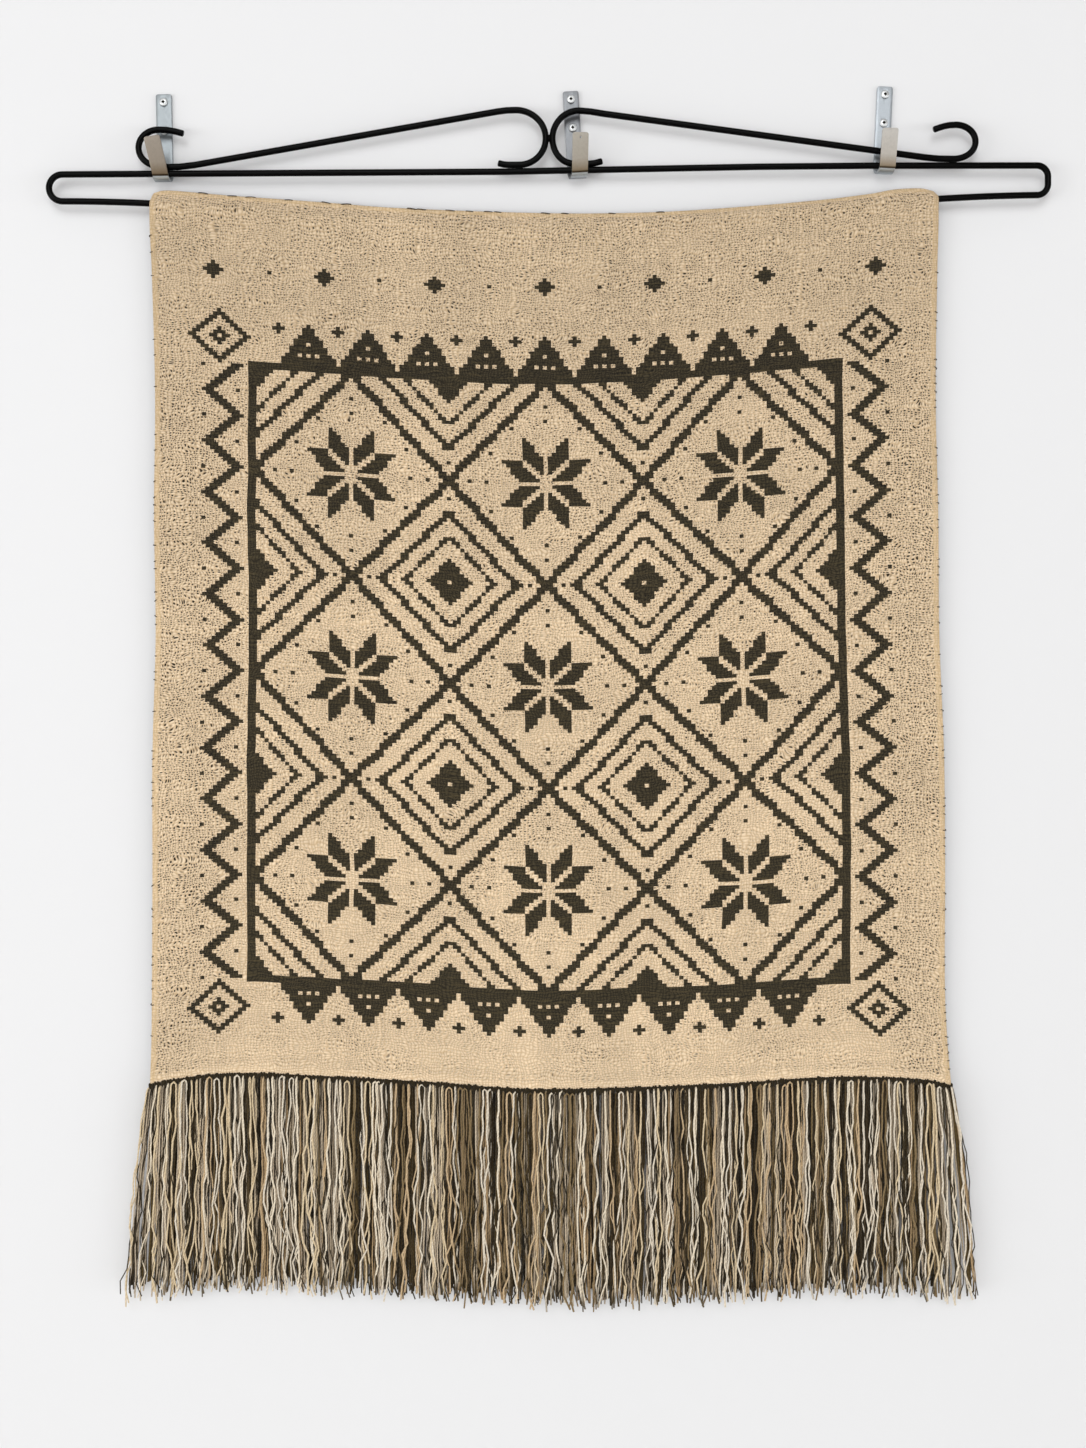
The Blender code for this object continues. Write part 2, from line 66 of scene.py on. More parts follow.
# %% [markdown]
# ## Units and small helpers
#
# Sizes are easiest to read in millimetres and Blender works in metres, so every size is written as a number times MM.
# The hanging is on the -Y side of the wall, which is the plane Y = 0, and the origin is behind the middle hook.

# %% Units, blending and a smooth curve through a table
MM = 0.001
SAME_POINT = 0.005 * MM       # points nearer than this are merged


def lerp(a, b, t):
    return a + (b - a) * t


def smoothstep(t):
    t = min(1.0, max(0.0, t))
    return t * t * (3 - 2 * t)


def along(table, key, column=1):
    """A table's column at a key, on a smooth cubic through its rows."""
    if key <= table[0][0]:
        return table[0][column]
    if key >= table[-1][0]:
        return table[-1][column]
    i = max(k for k in range(len(table) - 1) if table[k][0] <= key)
    before, a, b, after = table[max(i - 1, 0)], table[i], table[i + 1], table[min(i + 2, len(table) - 1)]
    span = b[0] - a[0]
    slope_a = (b[column] - before[column]) / (b[0] - before[0]) * span
    slope_b = (after[column] - a[column]) / (after[0] - a[0]) * span
    t = (key - a[0]) / span
    return (
        (2 * t**3 - 3 * t**2 + 1) * a[column] + (t**3 - 2 * t**2 + t) * slope_a
        + (3 * t**2 - 2 * t**3) * b[column] + (t**3 - t**2) * slope_b
    )


print("a millimetre is", MM, "m")

# %% [markdown]
# Finished pieces are plain meshes whose objects sit at the origin, as the CAD nodes do. `mesh_from` ends the work on
# a bmesh. `plain` evaluates an object with all its modifiers and keeps only the mesh that comes out. `dress` makes a
# piece move with the hanging and hides the CAD nodes that it stands for.

# %% Objects, plain meshes and dressing
scene = bpy.context.scene


def add_object(name, data, *finishes):
    made = bpy.data.objects.new(name, data)
    scene.collection.objects.link(made)
    for finish in finishes:
        data.materials.append(finish)
    return made


def mesh_from(bm, name):
    mesh = bpy.data.meshes.new(name)
    bm.to_mesh(mesh)
    bm.free()
    return mesh


def plain(made, name):
    """Replaces an object by the plain mesh that its modifiers and its place give."""
    bpy.context.view_layer.update()
    graph = bpy.context.evaluated_depsgraph_get()
    mesh = bpy.data.meshes.new_from_object(made.evaluated_get(graph), preserve_all_data_layers=True, depsgraph=graph)
    mesh.transform(made.matrix_world)
    bpy.data.objects.remove(made)
    piece = add_object(name, mesh)
    piece.name = mesh.name = name
    return piece


def shade(piece, sharp_degrees):
    """Smooth shading, with the edges that turn by more than an angle kept sharp."""
    piece.data.shade_smooth()
    piece.data.set_sharp_from_angle(angle=math.radians(sharp_degrees))
    return piece


def dress(piece, slot, *nodes):
    for node in nodes:
        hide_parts(node)
    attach(piece, "root")
    print(f"{piece.name}: {sum(len(p.vertices) - 2 for p in piece.data.polygons)} triangles")
    return piece


print("pieces go into the scene named", scene.name)

# %% [markdown]
# Materials and Geometry Nodes trees are both node trees, so one helper adds a node to either. It sets the node's own
# properties, then its sockets: a socket or a node is linked, and anything else is set as the value. The short
# functions after it are the nodes that come up again and again. Colours are written as sRGB hex, as one would pick
# them from a yarn card, and turned to the linear values that shaders use.

# %% Nodes and colours
def set_inputs(tree, node, inputs):
    """inputs is a list in socket order, or a dict by socket name or index."""
    for key, value in inputs.items() if isinstance(inputs, dict) else enumerate(inputs):
        if isinstance(value, bpy.types.Node):
            value = value.outputs[0]
        if isinstance(value, bpy.types.NodeSocket):
            tree.links.new(value, node.inputs[key])
        elif value is not None:
            node.inputs[key].default_value = value


def add_node(tree, kind, inputs=(), **settings):
    node = tree.nodes.new(kind)
    for name, value in settings.items():
        setattr(node, name, value)
    set_inputs(tree, node, inputs)
    return node


def math_node(tree, operation, *terms, **settings):
    return add_node(tree, "ShaderNodeMath", terms, operation=operation, **settings)


def product(tree, first, *others):
    for other in others:
        first = math_node(tree, "MULTIPLY", first, other)
    return first


def remap(tree, value, from_low, from_high, to_low, to_high):
    """Turns a range of values into another one, and stops at its ends."""
    return add_node(tree, "ShaderNodeMapRange", [value, from_low, from_high, to_low, to_high])


def noise_at(tree, place, scale, detail, roughness=None):
    return add_node(tree, "ShaderNodeTexNoise",
                    {"Vector": place, "Scale": scale, "Detail": detail, "Roughness": roughness})


def vector_math(tree, operation, a, b):
    return add_node(tree, "ShaderNodeVectorMath", [a, b], operation=operation)


def parts_of(tree, vector):
    """The three numbers of a vector or colour."""
    return add_node(tree, "ShaderNodeSeparateXYZ", [vector]).outputs


def scaled(tree, vector, factor):
    return add_node(tree, "ShaderNodeVectorMath", {0: vector, "Scale": factor}, operation="SCALE")


def white_noise(tree, number):
    return add_node(tree, "ShaderNodeTexWhiteNoise", [None, number], noise_dimensions="1D")


def stored(tree, name, kind="Fac"):
    """A named number, or vector, that the mesh keeps at each of its points or faces."""
    return add_node(tree, "ShaderNodeAttribute", attribute_name=name).outputs[kind]


def tint(tree, factor, low, high):
    """Blends two colours by a factor."""
    return add_node(tree, "ShaderNodeMix", {0: factor, 6: low, 7: high}, data_type="RGBA").outputs[2]


def linear(hex_color):
    parts = [int(hex_color[k:k + 2], 16) / 255 for k in (1, 3, 5)]
    return tuple(c / 12.92 if c <= 0.04045 else ((c + 0.055) / 1.055) ** 2.4 for c in parts) + (1.0,)


def color_ramp(tree, value, stops, smooth=False):
    """A colour that changes along a value from 0 to 1: pairs of value and colour, blended or in steps."""
    ramp = add_node(tree, "ShaderNodeValToRGB", [value])
    ramp.color_ramp.interpolation = "LINEAR" if smooth else "CONSTANT"
    while len(ramp.color_ramp.elements) < len(stops):
        ramp.color_ramp.elements.new(1.0)
    for element, (at, color) in zip(ramp.color_ramp.elements, stops):
        element.position, element.color = at, linear(color)
    return ramp.outputs[0]


def new_material(name, roughness, metallic=0.0, **plain_sockets):
    """A material with its Principled shader's plain numbers set on the sockets."""
    made = bpy.data.materials.new(name)
    made.use_nodes = True
    shader = made.node_tree.nodes["Principled BSDF"]
    set_inputs(made.node_tree, shader, {"Roughness": roughness, "Metallic": metallic}
               | {socket.replace("_", " "): value for socket, value in plain_sockets.items()})
    return made, made.node_tree, shader


print("straw beige is", [round(c, 3) for c in linear("#D5C0A1")[:3]])

# %% [markdown]
# ## The camera
#
# The camera looks level and square at the wall from a metre and a half, at about the middle height of the hanging.
# Nearer than that, the hooks' prongs would spread apart from their plates, and further away they would close up.

# %% Camera
camera_data = bpy.data.cameras.new("camera")
camera_data.sensor_fit = "AUTO"
camera_data.sensor_width = 36
camera_data.lens = 39.02
camera_data.clip_start = 0.05
camera = bpy.data.objects.new("camera", camera_data)
scene.collection.objects.link(camera)
camera.location = (-0.0275, -1.5, -0.5823)
camera.rotation_euler = (math.pi / 2, 0, 0)
scene.camera = camera
print("camera at", [round(c, 4) for c in camera.location], "with a", camera_data.lens, "mm lens")

# %% [markdown]
# ## The room
#
# A pale wall right behind the hooks takes the soft shadows, and a pale floor lies well below the fringe. Both are
# one-sided: their backs are clear, so the hanging can be looked at from behind and from below. They are marked as
# stage, because they aren't part of the object.

# %% Wall and floor
WALL_HALF, WALL_TOP, FLOOR_Z, FLOOR_NEAR, FLOOR_FAR = 3.2, 1.7, -2.1, -3.4, 3.0
WALL_Y = 0.6 * MM     # just behind the hooks' plates


def one_sided_paint(name, color):
    """Matt emulsion paint; its back, and shadows through it, are clear."""
    made, tree, shader = new_material(name, 0.85)
    set_inputs(tree, shader, {"Base Color": linear(color)})
    back = add_node(tree, "ShaderNodeNewGeometry").outputs["Backfacing"]
    shadow = add_node(tree, "ShaderNodeLightPath").outputs["Is Shadow Ray"]
    clear = math_node(tree, "MAXIMUM", back, shadow)
    mixed = add_node(tree, "ShaderNodeMixShader", [clear, shader, add_node(tree, "ShaderNodeBsdfTransparent")])
    set_inputs(tree, tree.nodes["Material Output"], {"Surface": mixed})
    return made


def stage_plane(name, corners, color):
    mesh = bpy.data.meshes.new(name)
    mesh.from_pydata(corners, [], [(0, 1, 2, 3)])
    add_object(name, mesh, one_sided_paint(name + "_paint", color))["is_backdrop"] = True


stage_plane("wall", [(-WALL_HALF, WALL_Y, FLOOR_Z), (WALL_HALF, WALL_Y, FLOOR_Z), (WALL_HALF, WALL_Y, WALL_TOP),
                     (-WALL_HALF, WALL_Y, WALL_TOP)], "#E9E9EA")
stage_plane("floor", [(-WALL_HALF, FLOOR_NEAR, FLOOR_Z), (WALL_HALF, FLOOR_NEAR, FLOOR_Z),
                      (WALL_HALF, FLOOR_FAR, FLOOR_Z), (-WALL_HALF, FLOOR_FAR, FLOOR_Z)], "#E2E1DE")
print("wall and floor are staged")

# %% [markdown]
# The light is soft and comes from the front, a little from above and a little from the left. A sun lamp with a wide
# disc is the skylight: it is equally bright all over the wall and gives the rods their blurred shadows. The light
# that a pale floor throws back is a fan of weaker suns: it comes from many sides but from one low height, so it
# softens the cloth's side shadows and hides the rods' own behind the rods. A window on the left makes that side of
# the wall a little brighter, a pale world fills the rest, and a weak sun behind the wall only serves the views from
# the back.

# %% Lights
SUN_COLOR = (0.985, 1.0, 1.015)      # a little cooler than the world


def lamp(name, kind, towards, **settings):
    data = bpy.data.lights.new(name, kind)
    for setting, value in settings.items():
        setattr(data, setting, value)
    made = bpy.data.objects.new(name, data)
    made.rotation_euler = Vector(towards).to_track_quat("-Z", "Y").to_euler()
    scene.collection.objects.link(made)
    return made


def sun(name, strength, spread_degrees, towards):
    lamp(name, "SUN", towards, energy=strength, angle=math.radians(spread_degrees), color=SUN_COLOR)


sun("skylight", 0.95, 36, (0.1, 1.0, -0.46))
sun("back_fill", 0.9, 60, (0.2, -1.0, -0.5))
FLOOR_BOUNCE = 0.387         # how steeply the floor's light rises towards the wall
# turn to each side in degrees, strength
BOUNCES = ((0, 0.13), (20, 0.13), (40, 0.13), (60, 0.27), (75, 0.22))
for turn, strength in BOUNCES:
    sideways, forward = math.sin(math.radians(turn)), math.cos(math.radians(turn))
    for side in (-1, 1) if turn else (1,):
        sun(f"floor_bounce_{side * turn}", strength, 16, (side * sideways, forward, FLOOR_BOUNCE * forward))
window = lamp("side_window", "AREA", (0.62, 0.78, -0.05), energy=10, shape="RECTANGLE", size=1.6, size_y=1.6)
window.location = (-2.3, -2.0, -0.4)
window.visible_camera = False
world = bpy.data.worlds.new("studio")
world.use_nodes = True
set_inputs(world.node_tree, world.node_tree.nodes["Background"], {"Color": linear("#FFFCF9"), "Strength": 0.42})
scene.world = world
scene.view_settings.view_transform = "Standard"
print(len(bpy.data.lights), "lamps and a pale world")

# %% [markdown]
# ## The hanger's rods
#
# The hanger is one closed loop of 6 mm rod, with two scrolls of the same rod welded on its upper run. A bevelled
# curve is the natural way to make bent rod: the path is the rod's middle line, taken from a few stations that each
# have a place and a heading, and the bevel gives the round section. The lower run sags under the cloth.

# %% Rod paths
ROD_RADIUS, ROD_Y = 3.0 * MM, -10.9 * MM
WELD_PITCH = 6.3      # mm between the middle lines of two rods welded side by side
UPPER_BAR = ((-483.3, -60.9), (-62.6, -58.3), (30.4, -56.4), (176.5, -53.6), (282.7, -52.6), (441.1, -52.4))
LOOP_LEFT_X, LOOP_RIGHT_X, LOOP_CORNER = -496.2, 451.6, 10.5
LOWER_LEFT_Z, LOWER_RIGHT_Z, LOWER_SAG = -86.4, -80.4, 26.5
LOWER_STEPS = 90
HANDLE = 0.39         # length of a curve's handle, as a share of the distance between two stations
STEP_DEGREES = 5
ON_BAR = None         # the height at which a rod lies on the upper run
# x, z and heading in degrees
SCROLLS = {
    "scroll_left": (
        (-368.6, -22.2, 164), (-392.7, -18.5, 181), (-411.2, -35.5, 270), (-388.0, ON_BAR, 360),
        (-357.6, -51.9, 369.5), (-71.1, -1.3, 369.5), (-53.4, 0.2, 360), (-24.9, -26.7, 270), (-50.0, ON_BAR, 180),
        (-70.2, -50.1, 162),
    ),
    "scroll_right": (
        (28.8, -48.2, 200), (1.9, ON_BAR, 180), (-18.6, -26.7, 90), (6.7, -0.3, 0), (29.4, -3.2, -7.7),
        (334.9, -44.7, -7.7), (361.5, ON_BAR, 0), (382.8, -29.8, 90), (364.3, -13.8, 180), (343.0, -18.5, 200),
    ),
}


def bar_z(x):
    """Middle line of the loop's upper run."""
    for (x0, z0), (x1, z1) in zip(UPPER_BAR, UPPER_BAR[1:]):
        if x <= x1:
            return lerp(z0, z1, (x - x0) / (x1 - x0))
    return UPPER_BAR[-1][1]


def lower_rod_z(x):
    """Middle line of the loop's lower run, which sags between its ends."""
    share = (x - LOOP_LEFT_X) / (LOOP_RIGHT_X - LOOP_LEFT_X)
    return lerp(LOWER_LEFT_Z, LOWER_RIGHT_Z, share) - LOWER_SAG * math.sin(math.pi * share) ** 2


def arc(centre, radius, start, turn, steps=14):
    """Points round a centre, from an angle in degrees on by a turn in degrees."""
    angles = [math.radians(start + turn * k / steps) for k in range(steps + 1)]
    return [(centre[0] + radius * math.cos(a), centre[1] + radius * math.sin(a)) for a in angles]


def loop_path():
    end_radius = (UPPER_BAR[0][1] - lower_rod_z(LOOP_LEFT_X)) / 2
    corner_x = LOOP_RIGHT_X - LOOP_CORNER
    first_x = LOOP_LEFT_X + end_radius
    lower = [lerp(corner_x, first_x, k / LOWER_STEPS) for k in range(1, LOWER_STEPS)]
    return (
        list(UPPER_BAR[1:-1])
        + arc((corner_x, UPPER_BAR[-1][1] - LOOP_CORNER), LOOP_CORNER, 90, -90)
        + arc((corner_x, lower_rod_z(corner_x) + LOOP_CORNER), LOOP_CORNER, 0, -90)
        + [(x, lower_rod_z(x)) for x in lower]
        + arc((first_x, UPPER_BAR[0][1] - end_radius), end_radius, 270, -180, 24)
    )


def scroll_path(stations):
    """A smooth curve through the stations, each passed at its heading."""
    knots = []
    for x, z, heading in stations:
        z = bar_z(x) + WELD_PITCH if z is ON_BAR else z
        turn = math.radians(heading)
        knots.append((Vector((x, z, 0)), Vector((math.cos(turn), math.sin(turn), 0)), heading))
    path = []
    for (start, leaving, turn_a), (end, arriving, turn_b) in zip(knots, knots[1:]):
        handle = HANDLE * (end - start).length
        steps = max(1, round(abs(turn_b - turn_a) / STEP_DEGREES))
        curve = interpolate_bezier(start, start + leaving * handle, end - arriving * handle, end, steps + 1)
        path += [(p.x, p.y) for p in curve[:-1]]
    return path + [tuple(knots[-1][0][:2])]


print("loop:", len(loop_path()), "points; scrolls:", [len(scroll_path(s)) for s in SCROLLS.values()])

# %% [markdown]
# The rods carry a satin black paint: a thin stoving enamel over steel. It gives the eye a deep black with soft,
# narrow highlights along each rod, broken a little by the paint's fine orange peel and by handling.

# %% Black stoving enamel
def black_enamel():
    made, tree, shader = new_material("black stoving enamel on steel rod", 0.22, Specular_IOR_Level=0.06)
    place = add_node(tree, "ShaderNodeTexCoord").outputs["Object"]
    handling = noise_at(tree, place, 55.0, 3.0)
    worn = remap(tree, handling, 0.35, 0.7, 0.14, 0.26)
    tone = tint(tree, handling, linear("#010101"), linear("#050505"))
    # orange peel, about 1.2 mm from one swelling to the next
    peel = noise_at(tree, place, 850.0, 1.0)
    bump = add_node(tree, "ShaderNodeBump", {"Strength": 0.06, "Distance": 0.2 * MM, "Height": peel})
    set_inputs(tree, shader, {"Base Color": tone, "Roughness": worn, "Normal": bump})
    return made


enamel = black_enamel()
print("made", enamel.name)

# %% [markdown]
# The curve's bevel gives tubes with the paint on them. The loop is closed; the scrolls' open ends are rounded off a
# little, as a cut rod's are after grinding.

# %% Loop and scrolls
# distance from a rod's end in mm, share of the radius there
END_ROUNDING = ((0.0, 0.7), (0.5, 0.92), (1.4, 1.0))


def rounded_end(path):
    """The first points of a path whose end is rounded off."""
    tip, back = Vector(path[0]), (Vector(path[1]) - Vector(path[0])).normalized()
    return [path[0]] + [tuple(tip + back * distance) for distance, _ in END_ROUNDING[1:]]


def bent_rod(name, path, closed):
    """A round rod along a path of (x, z) in mm; open ends are rounded off."""
    radii = [1.0] * len(path)
    if not closed:
        path = rounded_end(path) + path[1:-1] + rounded_end(path[::-1])[::-1]
        end_radii = [radius for _, radius in END_ROUNDING]
        radii = end_radii + radii[1:-1] + end_radii[::-1]
    curve = bpy.data.curves.new(name, "CURVE")
    curve.dimensions = "3D"
    curve.bevel_depth = ROD_RADIUS
    curve.bevel_resolution = 6
    curve.use_fill_caps = not closed
    spline = curve.splines.new("POLY")
    spline.points.add(len(path) - 1)
    for point, (x, z), radius in zip(spline.points, path, radii):
        point.co, point.radius = (x * MM, ROD_Y, z * MM, 1), radius
    spline.use_cyclic_u = closed
    rod = plain(add_object(name, curve, enamel), name)
    bm = bmesh.new()
    bm.from_mesh(rod.data)
    bmesh.ops.remove_doubles(bm, verts=bm.verts, dist=SAME_POINT)
    bmesh.ops.recalc_face_normals(bm, faces=bm.faces)
    bm.to_mesh(rod.data)
    bm.free()
    rod.data.shade_smooth()
    return rod


dress(bent_rod("hanger_loop_rod", loop_path(), True), "black_rod", "hanger_loop")
for node, stations in SCROLLS.items():
    dress(bent_rod(node + "_rod", scroll_path(stations), False), "black_rod", node)

# %% [markdown]
# The scrolls are spot-welded to the loop and to each other. Each weld leaves a small bead that fills the groove
# between the two rods. A squashed, slightly lumpy ball in the groove reads as one, and it is painted with the rods.

# %% Weld beads
BEAD_HALF_SIZES = (3.4, 2.5, 1.5)       # mm along the groove, out of it and into it
WELDS_ON_BAR = (-388.0, -50.0, 1.9, 361.5)
SCROLLS_MEET = (-21.75, -26.7, 90)


def weld_beads(name, beads):
    """beads: x, z in mm, and the angle in degrees of the groove that the bead fills."""
    bm = bmesh.new()
    for x, z, groove in beads:
        turn = Matrix.Rotation(math.radians(-groove), 4, "Y")
        place = Matrix.Translation((x * MM, ROD_Y, z * MM)) @ turn @ Matrix.Diagonal((*BEAD_HALF_SIZES, 1))
        for v in bmesh.ops.create_icosphere(bm, subdivisions=3, radius=MM)["verts"]:
            v.co = v.co * (1 + 0.22 * noise.noise(v.co / MM * 1.3 + Vector((x, z, 0))))
            v.co = place @ v.co
    mesh = mesh_from(bm, name)
    mesh.shade_smooth()
    return add_object(name, mesh, enamel)


on_bar = [(x, bar_z(x) + WELD_PITCH / 2, 0) for x in WELDS_ON_BAR]
dress(weld_beads("weld_beads", on_bar + [SCROLLS_MEET]), "black_rod")

# %% [markdown]
# ## The wall hooks
#
# Each hook is a strip of 15 by 2.4 mm steel. Its plate is screwed flat on the wall, its foot is bent into a J that
# carries the hanger, and its prong stands up again, flared away from the wall. A flat outline that is bent along a
# profile, thickened and given a small bevel is how such a hook is made in a press, so it is made that way here.

# %% The bent strip
STRIP_WIDTH, STRIP_THICKNESS, BEND_RADIUS = 15.0 * MM, 2.4 * MM, 6.5 * MM
PRONG_FLARE, PRONG_LENGTH = math.radians(23), 33.0 * MM
SCREW_PITCH, TOP_TO_SCREW, BEND_TO_SCREW = 27.3 * MM, 8.0 * MM, 41.5 * MM
SEAT_GAP = 0.3 * MM
SCREW_HOLE, TIP_HOLE, TIP_HOLE_INSET, CORNER_ROUNDING, EDGE_ROUNDING = 2.3 * MM, 0.9 * MM, 4.5 * MM, 2.2 * MM, 0.35 * MM
# x of the bend, tilt of the plate, sideways shift in the bend, lean of the prong, hole at the prong's tip
HOOKS = {
    "left": (-388.0, -1.2, -1.6, -7.5, False),
    "middle": (3.27, -3.4, 4.0, 3.8, True),
    "right": (295.5, 2.7, 3.0, -2.5, False),
}
BEND_Y = -STRIP_THICKNESS - BEND_RADIUS


def hook_place(x, tilt):
    """Where a hook's bend sits so that the rod lies in it."""
    corner_gap = STRIP_WIDTH / 2 * math.tan(math.radians(abs(tilt)))
    room = BEND_RADIUS - ROD_RADIUS - SEAT_GAP - corner_gap
    seat = bar_z(x) * MM + math.sqrt(room**2 - (ROD_Y - BEND_Y) ** 2)
    return Matrix.Translation((x * MM, 0, seat)) @ Matrix.Rotation(math.radians(tilt), 4, "Y")


def hook_profile(bend_steps=26, flat_steps=8):
    """The strip's middle line, y and z from the centre of the bend, with its share round the bend and up the prong."""
    middle = BEND_RADIUS + STRIP_THICKNESS / 2
    top = BEND_TO_SCREW + SCREW_PITCH + TOP_TO_SCREW
    profile = [(-STRIP_THICKNESS / 2, lerp(top, 0, k / flat_steps), 0.0, 0.0) for k in range(flat_steps)]
    for k in range(bend_steps + 1):
        angle = -(math.pi - PRONG_FLARE) * k / bend_steps
        profile.append((BEND_Y + middle * math.cos(angle), middle * math.sin(angle), k / bend_steps, 0.0))
    foot_y, foot_z = profile[-1][:2]
    for k in range(1, flat_steps + 1):
        reach = PRONG_LENGTH * k / flat_steps
        profile.append((foot_y - reach * math.sin(PRONG_FLARE), foot_z + reach * math.cos(PRONG_FLARE), 1.0,
                        k / flat_steps))
    return profile


print("a hook's profile has", len(hook_profile()), "stations")

# %% [markdown]
# The hooks are zinc-plated strip: electroplated zinc is blue-grey, dull to satin, and mottled by its fine crystals
# and by handling. The three are not equally fresh: the right one is bright, the other two have tarnished. The prongs'
# fronts have lost the blue under a warm grey film. Towards the bend they are painted darker, with a dark line where
# the strip turns under: painted shade. The bend's lower part is painted pale: worn by the rods inside, and a painted
# reflection outside.

# %% Zinc plate
def by_place(tree, value, stops, smooth=True):
    """A colour that changes along a place in metres, from the first stop to the last."""
    first, last = stops[0][0], stops[-1][0]
    share = remap(tree, value, first, last, 0.0, 1.0)
    return color_ramp(tree, share, [((at - first) / (last - first), color) for at, color in stops], smooth)


def zinc_plate(name, on_hooks=True):
    made, tree, shader = new_material(name, 0.4, metallic=1.0)
    place = add_node(tree, "ShaderNodeTexCoord").outputs["Object"]
    # zinc crystals, about 2 mm across
    mottle = noise_at(tree, place, 420.0, 5.0, 0.65)
    grain = remap(tree, mottle, 0.3, 0.7, 0.88, 1.08)
    color = linear("#E6E8E8")[:3]
    if on_hooks:
        split = parts_of(tree, place)
        plate = by_place(tree, split[0], ((-1.0, "#979DA0"), (-0.2, "#85878A"), (0.15, "#ADB3B8"), (1.0, "#ADB3B8")),
                         smooth=False)
        film = by_place(tree, split[0], ((-1.0, "#988F84"), (-0.2, "#AEA89E"), (0.15, "#C4C0BA"), (1.0, "#C4C0BA")),
                        smooth=False)
        # painted shade: the prong darkens towards the bend and has a dark line where the strip turns under
        bend_shade = by_place(tree, split[1], ((-31 * MM, "#FFFFFF"), (-21 * MM, "#F3F0EC"), (-16.9 * MM, "#BFAF99"),
                                         (-16.3 * MM, "#5A4C3B"), (-15.8 * MM, "#6B6154"), (-15.5 * MM, "#FFFFFF"),
                                         (0.0, "#FFFFFF")))
        on_prong = remap(tree, split[1], -15.4 * MM, -15.7 * MM, 0.0, 1.0)
        # the bend's lower part is painted pale: worn by the rods inside, and a painted reflection outside
        in_bend = remap(tree, split[1], -9 * MM, -12 * MM, 0.0, 1.0)
        color = tint(tree, on_prong, tint(tree, in_bend, plate, linear("#C6CBCD")), film)
        color = vector_math(tree, "MULTIPLY", color, bend_shade)
    color = scaled(tree, color, grain)
    dull = remap(tree, mottle, 0.3, 0.7, 0.34, 0.56)
    bump = add_node(tree, "ShaderNodeBump", {"Strength": 0.15, "Distance": 0.1 * MM, "Height": mottle})
    set_inputs(tree, shader, {"Base Color": color, "Roughness": dull, "Normal": bump})
    return made


zinc = zinc_plate("zinc plate on steel strip")
screw_zinc = zinc_plate("bright zinc plate on screws", on_hooks=False)
print("made", zinc.name, "and", screw_zinc.name)

# %% [markdown]
# The strip starts as a flat grid whose rows are laid along the profile. The bend drifts sideways and the prong leans,
# a little differently on each hook. Its corners are rounded in the flat, then it is thickened, drilled and bevelled.

# %% Hooks
def drill(target, radius, place):
    bm = bmesh.new()
    bmesh.ops.create_cone(bm, cap_ends=True, segments=40, radius1=radius, radius2=radius, depth=4 * STRIP_THICKNESS,
                          matrix=Matrix.Rotation(math.pi / 2, 4, "X"))
    cutter = add_object("drill", mesh_from(bm, "drill"))
    cutter.matrix_world = place
    hole = target.modifiers.new("hole", "BOOLEAN")
    hole.operation, hole.object = "DIFFERENCE", cutter
    return cutter


def hook_strip(name, x, tilt, bend_shift, lean, has_tip_hole):
    profile, place = hook_profile(), hook_place(x, tilt)
    tip_shift = PRONG_LENGTH * math.tan(math.radians(lean))
    bm = bmesh.new()
    bmesh.ops.create_grid(bm, x_segments=6, y_segments=len(profile) - 1, size=1)
    for v in bm.verts:
        y, z, round_bend, up_prong = profile[round((v.co.y + 1) / 2 * (len(profile) - 1))]
        across = v.co.x * STRIP_WIDTH / 2
        # the end is cut square to the leaning prong
        rise = -across * math.tan(math.radians(lean)) * up_prong
        y, z = y - rise * math.sin(PRONG_FLARE), z + rise * math.cos(PRONG_FLARE)
        v.co = (across + smoothstep(round_bend) * bend_shift * MM + up_prong * tip_shift, y, z)
    corners = [v for v in bm.verts if len(v.link_edges) == 2]
    bmesh.ops.bevel(bm, geom=corners, offset=CORNER_ROUNDING, affect="VERTICES", segments=6, profile=0.5)
    bmesh.ops.recalc_face_normals(bm, faces=bm.faces)
    strip = add_object(name, mesh_from(bm, name), zinc)
    strip.matrix_world = place
    thick = strip.modifiers.new("strip thickness", "SOLIDIFY")
    thick.thickness, thick.offset, thick.use_even_offset = STRIP_THICKNESS, 0, True
    cutters = [drill(strip, SCREW_HOLE, place @ Matrix.Translation((0, -STRIP_THICKNESS / 2, BEND_TO_SCREW + up)))
               for up in (0, SCREW_PITCH)]
    if has_tip_hole:
        tip_y, tip_z = profile[-1][:2]
        centre = (bend_shift * MM + (1 - TIP_HOLE_INSET / PRONG_LENGTH) * tip_shift,
                  tip_y + TIP_HOLE_INSET * math.sin(PRONG_FLARE), tip_z - TIP_HOLE_INSET * math.cos(PRONG_FLARE))
        turned = Matrix.Translation(centre) @ Matrix.Rotation(PRONG_FLARE, 4, "X")
        cutters.append(drill(strip, TIP_HOLE, place @ turned))
    edge = strip.modifiers.new("rounded edges", "BEVEL")
    edge.width, edge.segments, edge.limit_method, edge.angle_limit = EDGE_ROUNDING, 2, "ANGLE", math.radians(50)
    strip = plain(strip, name)
    for cutter in cutters:
        bpy.data.objects.remove(cutter)
    return shade(strip, 40)


for side, shape in HOOKS.items():
    dress(hook_strip(f"hook_{side}_strip", *shape), "zinc_strip", f"hook_{side}")

# %% [markdown]
# Six pan-head screws hold the hooks. A lathe profile spun round its axis gives the domed head, and a square recess
# is cut into it. They are brighter than the strips, because a screw's head is polished by its making; the recess is
# painted dull and dark, as painted shade.

# %% Screws
# painted shade: the dark colour that fills the screws' recesses
recess_shade = new_material("old grease in a screw's recess", 0.7, Specular_IOR_Level=0.2, Base_Color=linear("#2B2721"))[0]
SHANK_RADIUS, HEAD_RADIUS, HEAD_HEIGHT, RECESS_CUBE = 2 * MM, 3.8 * MM, 2.0 * MM, 2.6 * MM
RIM_HEIGHT, RIM_ROUNDING = 0.9 * MM, 0.2 * MM


